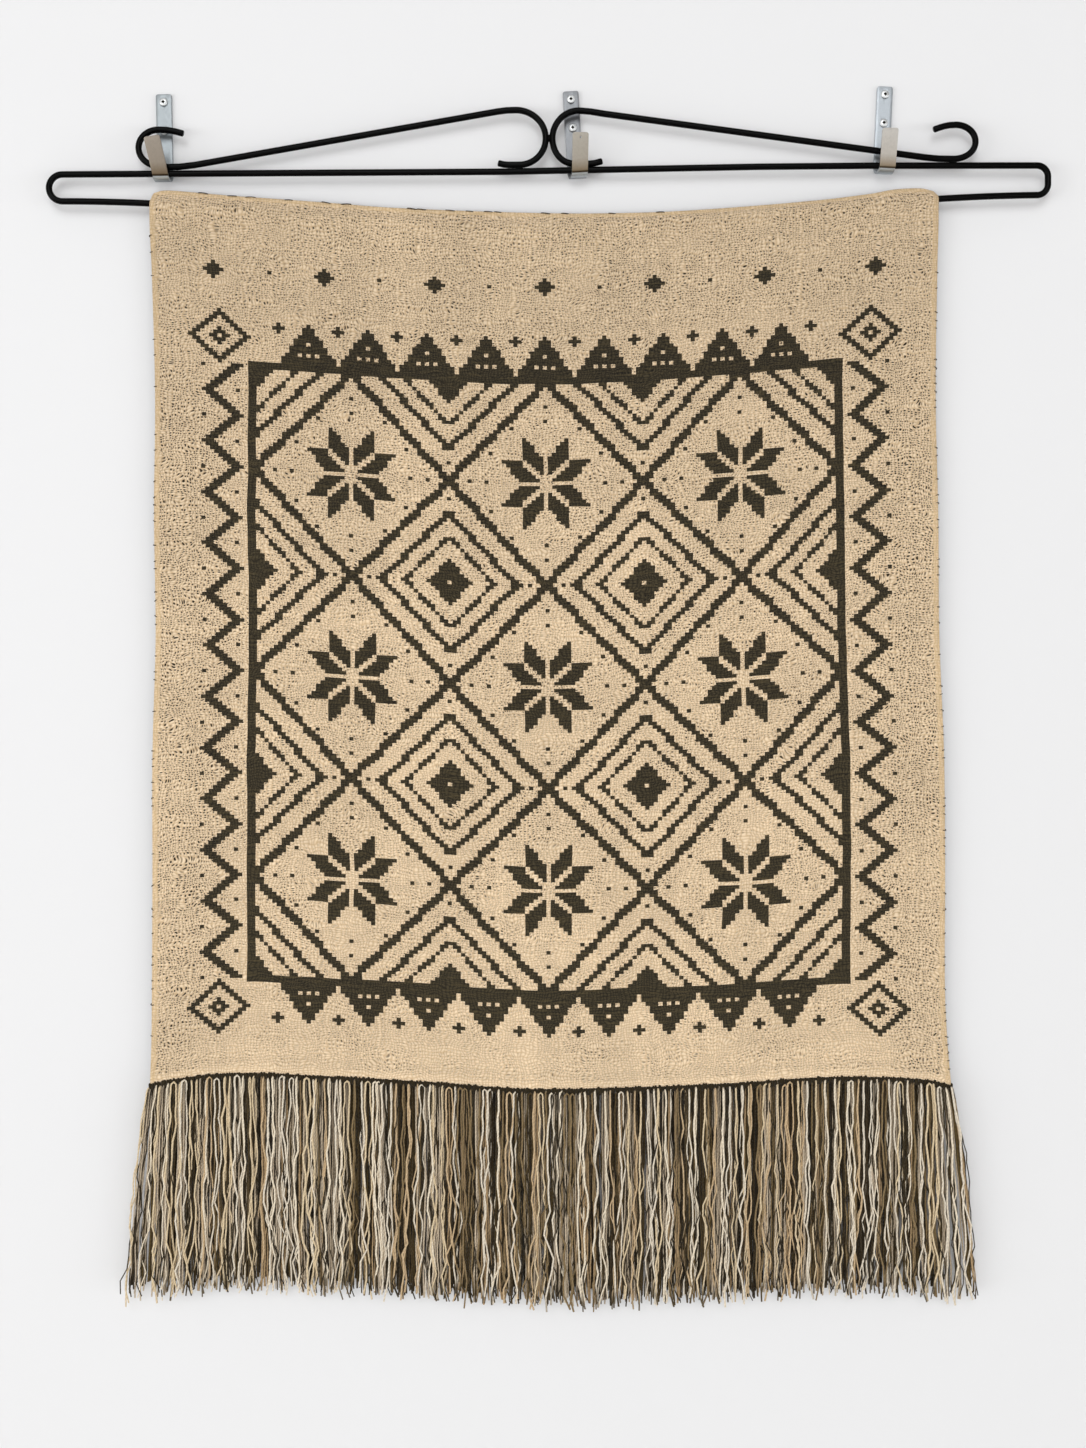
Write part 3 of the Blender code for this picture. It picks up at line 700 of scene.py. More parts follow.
def screw_profile():
    """Radius and distance from the wall, from the shank's end to the top of the domed head."""
    seat = STRIP_THICKNESS + SEAT_GAP
    dome = [math.radians(15 * k) for k in range(1, 6)]
    return [
        (0, SEAT_GAP), (SHANK_RADIUS, SEAT_GAP), (SHANK_RADIUS, seat), (HEAD_RADIUS - RIM_ROUNDING, seat),
        (HEAD_RADIUS, seat + RIM_ROUNDING), (HEAD_RADIUS, seat + RIM_HEIGHT),
        *((HEAD_RADIUS * math.cos(a), seat + RIM_HEIGHT + (HEAD_HEIGHT - RIM_HEIGHT) * math.sin(a)) for a in dome),
        (0, seat + HEAD_HEIGHT),
    ]


def screw(name, place, node):
    profile = screw_profile()
    bm = bmesh.new()
    verts = [bm.verts.new((radius, -depth, 0)) for radius, depth in profile]
    for a, b in zip(verts, verts[1:]):
        bm.edges.new((a, b))
    bmesh.ops.spin(bm, geom=bm.verts[:] + bm.edges[:], cent=(0, 0, 0), axis=(0, 1, 0), angle=2 * math.pi, steps=40,
                   use_merge=True)
    bmesh.ops.remove_doubles(bm, verts=bm.verts, dist=SAME_POINT)
    bmesh.ops.recalc_face_normals(bm, faces=bm.faces)
    made = add_object(name, mesh_from(bm, name), screw_zinc)
    made.matrix_world = place
    bm = bmesh.new()
    bmesh.ops.create_cube(bm, size=RECESS_CUBE)
    recess = add_object("recess", mesh_from(bm, "recess"), recess_shade)
    recess.matrix_world = place @ Matrix.Translation((0, -profile[-1][1], 0)) @ Matrix.Rotation(math.pi / 4, 4, "Y")
    cut = made.modifiers.new("recess", "BOOLEAN")
    cut.operation, cut.object, cut.material_mode = "DIFFERENCE", recess, "TRANSFER"
    made = plain(made, name)
    bpy.data.objects.remove(recess)
    dress(shade(made, 35), "zinc_screw", node)


for side, shape in HOOKS.items():
    for label, up in (("lower", BEND_TO_SCREW), ("upper", BEND_TO_SCREW + SCREW_PITCH)):
        screw(f"screw_{side}_{label}_head", hook_place(*shape[:2]) @ Matrix.Translation((0, 0, up)),
              f"screw_{side}_{label}")

# %% [markdown]
# ## The cloth
#
# The cloth is a double weave: two plain-woven layers, one of straw-coloured wool and one of dark brown wool, that
# change places cell by cell to draw the pattern. One cell stands for two threads by two of such a weave, about 4 by
# 3.5 mm. The mesh has one face for each cell, so the pattern's stepped edges follow the threads wherever the cloth
# sags or folds. A few soft troughs and ridges, the rolled selvedges and the swelling over the rod in the pocket make
# its shape.

# %% Cloth shape tables, in millimetres
CLOTH_HALF, HEADING_HALF, POCKET_HALF, TUNNEL_RADIUS = 1.3, 1.5, 5.3, 3.4
POCKET_BELOW_ROD = 26
SWELL_ABOVE, SWELL_BELOW = 3.8, 11.5         # how far the pocket's swelling reaches from the rod
FREE_FROM, FREE_OVER = 12, 50                # below the rod, and the length over which the cloth comes to hang freely
ROLL, ROLL_REACH = 1.2, 17                   # how far the selvedges curl back, and over what width
KICK, KICK_REACH = 3.0, 22                   # how far the hem stands forward, and over what height
# edges: z, left x, right x
CLOTH_SIDES = (
    (-928, -399, 358.5), (-840, -398, 353.5), (-726, -397.5, 353.5), (-612, -397.5, 352.5), (-499, -394.5, 348),
    (-385, -396, 347), (-271, -395, 344.5), (-157, -398, 346), (-100, -400, 347), (-82, -398, 346),
    (-76, -393, 341.5),
)
# top edge: x, z
CLOTH_TOP = (
    (-398, -80), (-391, -77.5), (-380, -77.2), (-324, -82), (-234, -88.5), (-175, -93.2), (-86, -97), (-4, -98.9),
    (70, -98), (122, -95.4), (197, -89.7), (249, -84.7), (280, -80.5), (306, -76.2), (334, -75.2), (346, -78.5),
)
# bottom edge: share of the width, z
CLOTH_BOTTOM = (
    (0.0, -923), (0.06, -915), (0.12, -912.5), (0.22, -915.5), (0.35, -921), (0.47, -927.5), (0.6, -926),
    (0.74, -921.5), (0.84, -916.5), (0.92, -916.5), (0.97, -919), (1.0, -924),
)
# soft troughs (depth > 0) and ridges: x, z, half length, half width, angle, depth
CLOTH_FOLDS = (
    (55, -752, 75, 13, -14, 2.4), (-30, -786, 90, 16, -10, -1.8), (-250, -470, 120, 45, 70, -2.0),
    (120, -330, 140, 50, 80, -2.2), (-60, -560, 150, 40, 84, 1.6), (250, -640, 130, 45, 95, -1.8),
    (-320, -760, 110, 35, 100, 1.4), (210, -200, 80, 22, 8, 1.4), (-180, -215, 90, 24, -6, 1.2),
)


def fold_depth(x, z):
    total = 0.0
    for fold_x, fold_z, half_length, half_width, angle, depth in CLOTH_FOLDS:
        turn = math.radians(angle)
        lengthwise = (x - fold_x) * math.cos(turn) + (z - fold_z) * math.sin(turn)
        crosswise = (z - fold_z) * math.cos(turn) - (x - fold_x) * math.sin(turn)
        total += depth * math.exp(-((lengthwise / half_length) ** 2) - (crosswise / half_width) ** 2)
    return total


def cloth_middle_y(x, z, left, right):
    """Middle surface in mm: it hangs from the rod, its selvedges curl back and its hem stands forward."""
    hangs_free = smoothstep((lower_rod_z(x) - z - FREE_FROM) / FREE_OVER)
    roll = ROLL * math.exp(-((min(x - left, right - x) / ROLL_REACH) ** 2))
    bottom = along(CLOTH_BOTTOM, (x - left) / (right - left))
    kick = KICK * math.exp(-(((z - bottom) / KICK_REACH) ** 2))
    return ROD_Y / MM + hangs_free * (roll - kick + fold_depth(x, z))


def half_thickness(x, z):
    over = z - lower_rod_z(x)
    flat, reach = (HEADING_HALF, SWELL_ABOVE) if over > 0 else (CLOTH_HALF, SWELL_BELOW)
    return lerp(flat, POCKET_HALF, math.exp(-((over / reach) ** 2)))


print("the cloth swells to", 2 * POCKET_HALF, "mm over the rod")

# %% [markdown]
# ### The pattern
#
# Double weave lends itself to counted, stepped shapes. This chart is a traditional one made from rules: a trellis of
# lozenges, with eight-petalled stars and nested lozenges in turn inside them, between borders of zigzags and
# peaks. Each rule takes a cell's place from the middle of the pattern and says whether the dark layer is on top.

# %% The chart
COLUMNS, POCKET_ROWS, CHART_ROWS = 185, 20, 230
CHART_MIDDLE = 119           # row at the middle of the pattern
LOZENGE_WIDE, LOZENGE_HIGH = 46, 56
PANEL_WIDE, PANEL_HIGH, BORDER = 69, 84, 15
ZIGZAG = 14                  # columns or rows from one turn of a zigzag to the same turn of the next
ROW_PITCH, ROW_ABOVE, ROW_HALF = 26, 26, 85       # the row of small lozenges above the pattern
SQUARE = 3.46 / 4.08         # a cell's height over its width


def star(x, y, reach):
    """Eight petals, each a parallelogram, with one light cell between neighbours."""
    a, b = abs(x), abs(y) * SQUARE
    far, near = max(a, b), min(a, b)
    return 0.8 <= near <= reach / 2 and 0.8 <= far - near <= reach / 2


def outline(x, y, wide, high, thick=1.0):
    """A lozenge's stepped outline: two cells wide by default."""
    return abs(y) <= high and abs(abs(x) - wide * (1 - abs(y) / high)) <= thick


def filled(x, y, wide, high):
    return abs(x) / wide + abs(y) / high <= 1


def zigzag(value, pitch):
    """Goes from 0 up to half the pitch and back, again and again."""
    half = pitch // 2
    return abs((value + half) % pitch - half)


def star_lozenge(x, y):
    dots = (abs(x), abs(y)) in ((0, 17), (0, 21), (14, 0), (18, 0), (8, 15), (13, 8))
    return star(x, y, 11) or dots


def nested_lozenge(x, y):
    dots = (abs(x), abs(y)) in ((0, 23), (19, 0))
    core = filled(x, y, 5.5, 6.5) and (x, y) != (0, 0)
    return core or outline(x, y, 10.5, 12.5, 0.75) or outline(x, y, 16, 19, 1.0) or dots


def in_panel(x, y):
    across, up = x / LOZENGE_WIDE, y / LOZENGE_HIGH
    dx, dy = across - round(across), up - round(up)
    motif = star_lozenge
    if abs(dx) + abs(dy) > 0.5:
        dx, dy = dx - math.copysign(0.5, dx), dy - math.copysign(0.5, dy)
        motif = nested_lozenge
    to_line = (0.5 - abs(dx) - abs(dy)) * LOZENGE_WIDE
    return to_line < 1.3 or motif(round(dx * LOZENGE_WIDE), round(dy * LOZENGE_HIGH))


def in_border(x, y):
    """Zigzags up both sides, peaks along the top and bottom, and a lozenge in each corner."""
    side, end = abs(x) - PANEL_WIDE, abs(y) - PANEL_HIGH
    if side > BORDER or end > BORDER:
        return False
    if max(side, end) in (0, 1):
        return True
    if side > 0 and end > 0:
        steps = abs(side - 8) + abs(end - 8)
        return steps in (1, 2, 6, 7)
    if side > 0:
        swing = zigzag(y, ZIGZAG)
        return abs(side - 4 - swing) < 1.6 or (side == 12 and swing == 0) or (side == 4 and swing == 7)
    step = zigzag(x, ZIGZAG)
    cross = (step == 7 and end in (10, 11, 12)) or (step == 6 and end == 11)
    peak = side < -5 and end - 2 < 11 - 1.6 * step and (step, end) not in ((0, 4), (0, 7), (2, 4))
    return peak or side < -4 and cross


def is_dark(column, row):
    """Says whether the dark layer is on top in a cell, from its place about the pattern's middle."""
    x, y = column - COLUMNS // 2, row - CHART_MIDDLE
    if abs(x) < PANEL_WIDE and abs(y) < PANEL_HIGH:
        return in_panel(x, y)
    # a row of small lozenges with dots between them, above the pattern
    above = y + PANEL_HIGH + ROW_ABOVE
    place = zigzag(x, ROW_PITCH)
    in_row = place + abs(above) < 3 or (place == ROW_PITCH // 2 and above == 0)
    return in_border(x, y) or (abs(x) < ROW_HALF and in_row)


chart = [[is_dark(column, row) for column in range(COLUMNS)] for row in range(CHART_ROWS)]
print(f"dark cells: {100 * sum(map(sum, chart)) / COLUMNS / CHART_ROWS:.0f} % of the cloth")

# %% [markdown]
# ### The mesh
#
# The front and the back are two grids with the same cells, joined round the edge by a strip with one extra row of
# points, so that every edge is rounded. A tunnel runs through the pocket for the rod. The map named "weave" counts
# cells, which is what the weave's material needs: a thread always lies half a unit from the next one.

# %% Points of the cloth
def cloth_columns():
    """For each column of points: its points' x and z, from the top fold to the hem."""
    columns = []
    for k in range(COLUMNS + 1):
        share = k / COLUMNS
        x = lerp(*CLOTH_SIDES[0][1:], share)
        points = []
        for row in range(POCKET_ROWS + CHART_ROWS + 1):
            # x depends on z and z on x, so both are worked out twice
            for _ in range(2):
                seam = lower_rod_z(x) - POCKET_BELOW_ROD
                if row < POCKET_ROWS:
                    z = lerp(along(CLOTH_TOP, x), seam, row / POCKET_ROWS)
                else:
                    z = lerp(seam, along(CLOTH_BOTTOM, share), (row - POCKET_ROWS) / CHART_ROWS)
                left, right = along(CLOTH_SIDES, z, 1), along(CLOTH_SIDES, z, 2)
                x = lerp(left, right, share)
            points.append((x, z, left, right))
        columns.append(points)
    return columns


STEADY_SIDE = 20                         # mm over which the threads' wander fades out beside the selvedges
STEADY_ROWS, FADE_ROWS, HEM_ROWS = 6, 20, 6    # no wander in the first rows; it fades in, and out again at the hem


def uneven(x, z):
    """Small sideways and up-and-down wander of the threads, and the cloth's slight unevenness, in mm."""
    at = Vector((x / 38, z / 30, 0.7))
    return noise.noise(at) * 0.9, noise.noise(at + Vector((9, 4, 3))) * 1.1, noise.noise(at * 0.55) * 0.9


def cloth_points():
    points, places = [], []
    for side in (-1, 1):
        for k, column in enumerate(cloth_columns()):
            for row, (x, z, left, right) in enumerate(column):
                middle, half = cloth_middle_y(x, z, left, right), half_thickness(x, z)
                inside = smoothstep(min(x - left, right - x) / STEADY_SIDE)
                inside *= smoothstep((row - STEADY_ROWS) / FADE_ROWS)
                inside *= smoothstep((POCKET_ROWS + CHART_ROWS - row) / HEM_ROWS)
                sideways, up, out = (inside * c for c in uneven(x, z))
                points.append(((x + sideways) * MM, (middle + side * half + out) * MM, (z + up) * MM))
                places.append((k, row / 2 if row < POCKET_ROWS else row - POCKET_ROWS / 2))
    return points, places


points, places = cloth_points()
ROWS = POCKET_ROWS + CHART_ROWS + 1
print(len(points), "points, in columns of", ROWS)

# %% [markdown]
# Each face keeps two things besides its corners: whether the chart has the dark layer on top there, and whether it is
# on the reverse, where the layers are the other way round. In the pocket's rows next to each selvedge the edge stays
# open, because that is where the tunnel for the rod comes out.

# %% Faces of the cloth
HOLE_FROM, HOLE_TO = 1, 8        # rows between which the tunnel opens in each selvedge
TOP_BULGE, HEM_BULGE, SIDE_BULGE = 1.1, 0.7, 0.9      # mm by which the rounded edges stand out


def point_at(column, row, back):
    return (back * (COLUMNS + 1) + column) * ROWS + row


def add_between(a, b, push):
    """A new point half way between two, pushed outwards: the middle of a rounded edge."""
    points.append(tuple((Vector(points[a]) + Vector(points[b])) / 2 + Vector(push) * MM))
    places.append(places[a])
    return len(points) - 1


faces, dark, backs = [], [], []


def add_face(corners, back, cell=0.0):
    """back is 1 on the cloth's reverse; cell is 1 where the chart has the dark layer on top."""
    faces.append(corners)
    dark.append(cell)
    backs.append(back)


for column in range(COLUMNS):
    for row in range(ROWS - 1):
        corner = [(column, row), (column, row + 1), (column + 1, row + 1), (column + 1, row)]
        cell = float(row >= POCKET_ROWS and chart[row - POCKET_ROWS][column])
        add_face([point_at(c, r, 0) for c, r in corner], 0, cell)
        add_face([point_at(c, r, 1) for c, r in corner[::-1]], 1, cell)

crests = []
for row, push in ((0, (0, 0, TOP_BULGE)), (ROWS - 1, (0, 0, -HEM_BULGE))):
    ridge = [add_between(point_at(c, row, 0), point_at(c, row, 1), push) for c in range(COLUMNS + 1)]
    for c in range(COLUMNS):
        for back in (0, 1):
            add_face([point_at(c, row, back), point_at(c + 1, row, back), ridge[c + 1], ridge[c]], back)
    crests.append(ridge)
top_ridge, hem_ridge = crests

tunnels = []
for column, outward in ((0, -SIDE_BULGE), (COLUMNS, SIDE_BULGE)):
    ridge = [add_between(point_at(column, r, 0), point_at(column, r, 1), (outward, 0, 0)) for r in range(ROWS)]
    for r in range(ROWS - 1):
        if not HOLE_FROM <= r < HOLE_TO:
            for back in (0, 1):
                add_face([point_at(column, r, back), point_at(column, r + 1, back), ridge[r + 1], ridge[r]], back)
    for r, crest in ((0, top_ridge), (ROWS - 1, hem_ridge)):
        for back in (0, 1):
            add_face([point_at(column, r, back), ridge[r], crest[column]], back)
    mouth = [point_at(column, r, 0) for r in range(HOLE_FROM, HOLE_TO + 1)] + [ridge[HOLE_TO]]
    mouth += [point_at(column, r, 1) for r in range(HOLE_TO, HOLE_FROM - 1, -1)] + [ridge[HOLE_FROM]]
    tunnels.append(mouth)
print(len(faces), "faces before the tunnel")

# %% [markdown]
# The tunnel is a tube of rings, one to each column of points, round the rod's middle line. Its two ends are joined to
# the openings in the selvedges, so the whole cloth is one closed surface.

# %% Tunnel through the pocket
ROD_ROW = 4                      # the row of points that lies nearest to the rod
column_x = [points[point_at(column, ROD_ROW, 0)][0] for column in range(COLUMNS + 1)]
rod_heights = [lower_rod_z(x / MM) for x in column_x]
spokes = []
for index in tunnels[0]:
    _, y, z = points[index]
    spokes.append(math.atan2(z / MM - rod_heights[0], y / MM - ROD_Y / MM))
rings = []
for column, (x, rod_z) in enumerate(zip(column_x, rod_heights)):
    for spoke in spokes:
        points.append((x, ROD_Y + TUNNEL_RADIUS * math.cos(spoke) * MM, (rod_z + TUNNEL_RADIUS * math.sin(spoke)) * MM))
        places.append((column, ROD_ROW / 2))
    rings.append(range(len(points) - len(spokes), len(points)))
rings = [tunnels[0]] + rings + [tunnels[1]]
for ring, following in zip(rings, rings[1:]):
    for k in range(len(ring)):
        after = (k + 1) % len(ring)
        add_face([ring[k], ring[after], following[after], following[k]], 0)

cloth_mesh = bpy.data.meshes.new("cloth_sheet")
cloth_mesh.from_pydata(points, [], faces)
cloth_mesh.attributes.new("dark_cell", "FLOAT", "FACE").data.foreach_set("value", dark)
cloth_mesh.polygons.foreach_set("material_index", backs)
weave_map = cloth_mesh.uv_layers.new(name="weave")
corners = [0] * len(cloth_mesh.loops)
cloth_mesh.loops.foreach_get("vertex_index", corners)
weave_map.data.foreach_set("uv", [value for corner in corners for value in places[corner]])
bm = bmesh.new()
bm.from_mesh(cloth_mesh)
bmesh.ops.recalc_face_normals(bm, faces=bm.faces)
open_edges = sum(not e.is_manifold for e in bm.edges)
bm.to_mesh(cloth_mesh)
bm.free()
cloth_mesh.shade_smooth()
print(len(cloth_mesh.polygons), "faces,", open_edges, "open edges")

# %% [markdown]
# ### Woollen double weave
#
# The material is matt, hairy wool in plain weave. Every thread passes over one and under the next, so the surface is
# a fine chequer of small swellings, and in the pits between four threads the other, darker layer shows as tiny dots;
# in the dark wool the pits are painted darker still, as painted shade. Real threads are about 2 mm apart here; they
# are drawn about 3 mm apart, as coarse as they need to show. The weave's height comes from two sine waves, one for
# each set of threads; whether warp or weft is on top changes from square to square. The same height gives the bump,
# and painted shade between the threads and painted light on their crowns. A slow noise lets the threads wander, as
# hand-woven ones do.

# %% Weave nodes
THREADS_PER_CELL, CELLS_OF_DRIFT = 4 / 3, 4.5


def weave_nodes(tree):
    """Height of the plain weave, the depth of its pits, the thread's own tone and the map that counts cells."""
    cells = add_node(tree, "ShaderNodeUVMap", uv_map="weave")
    drift = noise_at(tree, cells, 0.17, 2.0)
    drift = scaled(tree, vector_math(tree, "SUBTRACT", drift.outputs["Color"], (0.5, 0.5, 0.5)), CELLS_OF_DRIFT)
    threads = scaled(tree, vector_math(tree, "ADD", cells, drift), THREADS_PER_CELL)
    ripples, counts = [], []
    for place in parts_of(tree, threads)[:2]:
        wave = math_node(tree, "SINE", math_node(tree, "MULTIPLY", place, math.pi))
        ripples.append(math_node(tree, "ABSOLUTE", wave))
        counts.append(math_node(tree, "FLOOR", place))
    weft_on_top = math_node(tree, "FLOORED_MODULO", math_node(tree, "ADD", *counts), 2.0)
    # the thread on top is rounded across, and runs nearly level along its length until it dives
    across = add_node(tree, "ShaderNodeMix", [weft_on_top, None, *ripples])
    lengthwise = add_node(tree, "ShaderNodeMix", [weft_on_top, None, *ripples[::-1]])
    height = product(tree, math_node(tree, "POWER", across, 0.85), math_node(tree, "POWER", lengthwise, 0.4))
    # pits sit where four threads meet, pushed about a little; each has its own depth
    spots = add_node(tree, "ShaderNodeTexVoronoi", {"Vector": threads, "Scale": 1.0, "Randomness": 0.5},
                     voronoi_dimensions="2D")
    depth = remap(tree, parts_of(tree, spots.outputs["Color"])[0], 0.15, 0.95, 0.3, 1.15)
    pit = product(tree, remap(tree, spots, 0.36, 0.14, 0.0, 1.0), depth)
    tones = [white_noise(tree, count) for count in counts]
    thread_tone = add_node(tree, "ShaderNodeMix", [weft_on_top, None, *tones])
    return height, pit, thread_tone, cells


print("weave nodes ready:", THREADS_PER_CELL, "threads in a cell")

# %% [markdown]
# The pits aren't equally deep all over: they are deeper near the top and in the margins, and missing in the last rows
# above the hem, which are beaten tight, and in the rolled edges. The colours follow: straw and brown wool, each with
# painted light and shade from the weave's relief. The whole is painted darker near the top and in the margins, as
# painted shade, and paler in the last rows above the hem, as painted light.

# %% Wool cloth material
def cloth_zones(tree, up, cells):
    """How deep the weave's pits are, and three masks: inside the rolled edge, in the margins, above the hem's last
    rows.
    """
    # the pits are deeper towards the top
    pit_strength = remap(tree, up, -0.9, -0.3, 0.42, 0.88)
    patchy = remap(tree, noise_at(tree, cells, 0.075, 3.0, 0.6), 0.32, 0.68, -0.35, 0.5)
    pit_strength = math_node(tree, "ADD", pit_strength, patchy, use_clamp=True)
    # no pits in the rolled edge: the outer 4 mm of each selvedge and of the top fold
    column, row = parts_of(tree, cells)[:2]
    from_side = math_node(tree, "MINIMUM", column, math_node(tree, "SUBTRACT", float(COLUMNS), column))
    from_top = math_node(tree, "MULTIPLY", row, 1.3)
    inside = remap(tree, math_node(tree, "MINIMUM", from_side, from_top), 0.9, 1.3, 0.0, 1.0)
    # the margins next to the pattern get deeper pits, and their colour is painted a little darker, as painted shade of
    # the rolled selvedges
    margin = remap(tree, from_side, 10.0, 22.0, 0.55, 0.0)
    below = remap(tree, up, -0.3, -0.18, 1.0, 0.0)
    pit_strength = math_node(tree, "MULTIPLY_ADD", margin, below, pit_strength)
    # the last two rows before the hem are packed tight, with no pits; they are also painted paler, as painted light on
    # the hem that stands forward
    hem_row = CHART_ROWS + POCKET_ROWS / 2
    above_hem = remap(tree, row, hem_row - 2.4, hem_row - 1.2, 1.0, 0.0)
    return product(tree, pit_strength, inside, above_hem), inside, margin, above_hem


def wool_cloth(name, reversed_layers):
    made, tree, shader = new_material(name, 0.92, Specular_IOR_Level=0.18, Sheen_Weight=0.1, Sheen_Roughness=0.55)
    height, pit, thread_tone, cells = weave_nodes(tree)
    place = add_node(tree, "ShaderNodeTexCoord").outputs["Object"]
    up = parts_of(tree, place)[2]
    pit_strength, inside, margin, above_hem = cloth_zones(tree, up, cells)
    pit = math_node(tree, "MULTIPLY", pit, pit_strength, use_clamp=True)
    # painted shade between the threads and painted light on their crowns, from the weave's height; the straw's pits
    # show the dark layer, the brown's pits are painted shade
    straw = tint(tree, pit, tint(tree, height, linear("#C9AC86"), linear("#ECD5B5")), linear("#2C2212"))
    brown = tint(tree, pit, tint(tree, height, linear("#1E190F"), linear("#453D2B")), linear("#15110A"))
    # the rolled edge shows more of the yellower warp
    straw = tint(tree, remap(tree, inside, 0.0, 1.0, 0.35, 0.0), straw, linear("#D9B987"))
    # threads float sideways over the dark areas, a few cells long, and catch the light
    stretched = add_node(tree, "ShaderNodeMapping", {"Vector": cells, "Scale": (0.12, 1.1, 1.0)})
    floats = remap(tree, noise_at(tree, stretched, 1.6, 2.0), 0.52, 0.74, 0.0, 0.4)
    brown = tint(tree, floats, brown, linear("#625539"))
    order = (brown, straw) if reversed_layers else (straw, brown)
    color = tint(tree, stored(tree, "dark_cell"), *order)
    thread = remap(tree, thread_tone, 0.0, 1.0, 0.92, 1.07)
    # undyed wool takes the light unevenly over a hand's breadth; the cloth is also painted darker at the top, as
    # painted shade under the pocket, fading out lower down
    cloud = remap(tree, noise_at(tree, place, 11.0, 3.0, 0.55), 0.3, 0.7, 0.94, 1.05)
    # painted shade: the top of the cloth is darker, fading out lower down
    paler = remap(tree, up, -0.45, -0.17, 1.055, 0.9)
    # painted light: the last rows above the hem are paler
    rim = remap(tree, above_hem, 0.0, 1.0, 1.09, 1.0)
    # painted shade: the margins are a little darker
    beside = remap(tree, margin, 0.0, 0.55, 1.0, 0.955)
    color = scaled(tree, color, product(tree, thread, cloud, paler, rim, beside))
    hairs = noise_at(tree, place, 1400.0, 2.0)
    relief = math_node(tree, "MULTIPLY_ADD", hairs, 0.25, height)
    relief = math_node(tree, "SUBTRACT", relief, pit)
    bump = add_node(tree, "ShaderNodeBump", {"Strength": 0.6, "Distance": 0.8 * MM, "Height": relief})
    set_inputs(tree, shader, {"Base Color": color, "Normal": bump})
    return made


cloth_mesh.materials.append(wool_cloth("double-woven wool, face", False))
cloth_mesh.materials.append(wool_cloth("double-woven wool, back", True))
cloth = dress(add_object("cloth_sheet", cloth_mesh), "wool_cloth", "cloth")

# %% [markdown]
# ## Stitches along the edges
#
# Small dark stitches hold the two layers together: one every two centimetres or so round each selvedge, a broken row
# along the left two thirds of the top fold, and a close row of knots along the hem, where the fringe is tied. All
# three are a loop of thread that is set again and again along a path, so one Geometry Nodes tree makes them: it
# resamples the path, puts a loop of thread on some or all of its points with a little jitter, and turns it to the
# path's direction.

# %% The stitches' tree
def new_tree(name, numbers, **others):
    """A Geometry Nodes tree with named inputs. Returns it with its input's sockets and its output node."""
    tree = bpy.data.node_groups.new(name, "GeometryNodeTree")
    for socket, kind in ({"Geometry": "Geometry"} | dict.fromkeys(numbers, "Float") | others).items():
        tree.interface.new_socket(socket.replace("_", " "), in_out="INPUT", socket_type="NodeSocket" + kind)
    tree.interface.new_socket("Geometry", in_out="OUTPUT", socket_type="NodeSocketGeometry")
    return tree, add_node(tree, "NodeGroupInput").outputs, tree.nodes.new("NodeGroupOutput")


stitch_tree, asked, result = new_tree(
    "stitches along a path", ("Pitch", "Share kept", "Half length", "Half depth", "Thread radius", "Tilt"),
    Loop_turn="Rotation", Seed="Int", Material="Material")
path = add_node(stitch_tree, "GeometryNodeMeshToCurve", [asked["Geometry"]])
spots = add_node(stitch_tree, "GeometryNodeResampleCurve", {0: path, 3: asked["Pitch"]}, mode="LENGTH")
ring = add_node(stitch_tree, "GeometryNodeCurvePrimitiveCircle", {0: 14, 4: 1.0})
oval = add_node(stitch_tree, "ShaderNodeCombineXYZ", [asked["Half length"], asked["Half depth"], 1.0])
ring = add_node(stitch_tree, "GeometryNodeTransform", {"Geometry": ring, "Scale": oval})
ring = add_node(stitch_tree, "GeometryNodeTransform", {"Geometry": ring, "Rotation": asked["Loop turn"]})
thread = add_node(stitch_tree, "GeometryNodeCurvePrimitiveCircle", {0: 6, 4: asked["Thread radius"]})
loop = add_node(stitch_tree, "GeometryNodeCurveToMesh", [ring, thread])
kept = add_node(stitch_tree, "FunctionNodeRandomValue", {6: asked["Share kept"], 8: asked["Seed"]},
                data_type="BOOLEAN")
facing = add_node(stitch_tree, "FunctionNodeAlignRotationToVector",
                  {"Vector": add_node(stitch_tree, "GeometryNodeInputTangent")}, axis="X")
size = add_node(stitch_tree, "FunctionNodeRandomValue", {0: (0.8, 0.9, 0.8), 1: (1.2, 1.1, 1.2), 8: asked["Seed"]},
                data_type="FLOAT_VECTOR")
placed = add_node(stitch_tree, "GeometryNodeInstanceOnPoints", {
    "Points": spots, "Selection": kept.outputs[3], "Instance": loop, "Rotation": facing, "Scale": size})
least = math_node(stitch_tree, "MULTIPLY", asked["Tilt"], -1.0)
lean = add_node(stitch_tree, "FunctionNodeRandomValue", {0: least, 1: asked["Tilt"], 8: asked["Seed"]},
                data_type="FLOAT_VECTOR")
tilted = add_node(stitch_tree, "GeometryNodeRotateInstances", {"Instances": placed, "Rotation": lean.outputs[0]})
real = add_node(stitch_tree, "GeometryNodeRealizeInstances", [tilted])
smooth = add_node(stitch_tree, "GeometryNodeSetShadeSmooth", [real])
finished = add_node(stitch_tree, "GeometryNodeSetMaterial", {"Geometry": smooth, "Material": asked["Material"]})
set_inputs(stitch_tree, result, [finished])
print("stitch tree:", len(stitch_tree.nodes), "nodes")

# %% [markdown]
# The tree is used through one function that gives the inputs by their names. A modifier stores each input under its
# socket's identifier, so the function looks the identifiers up in the tree's interface.

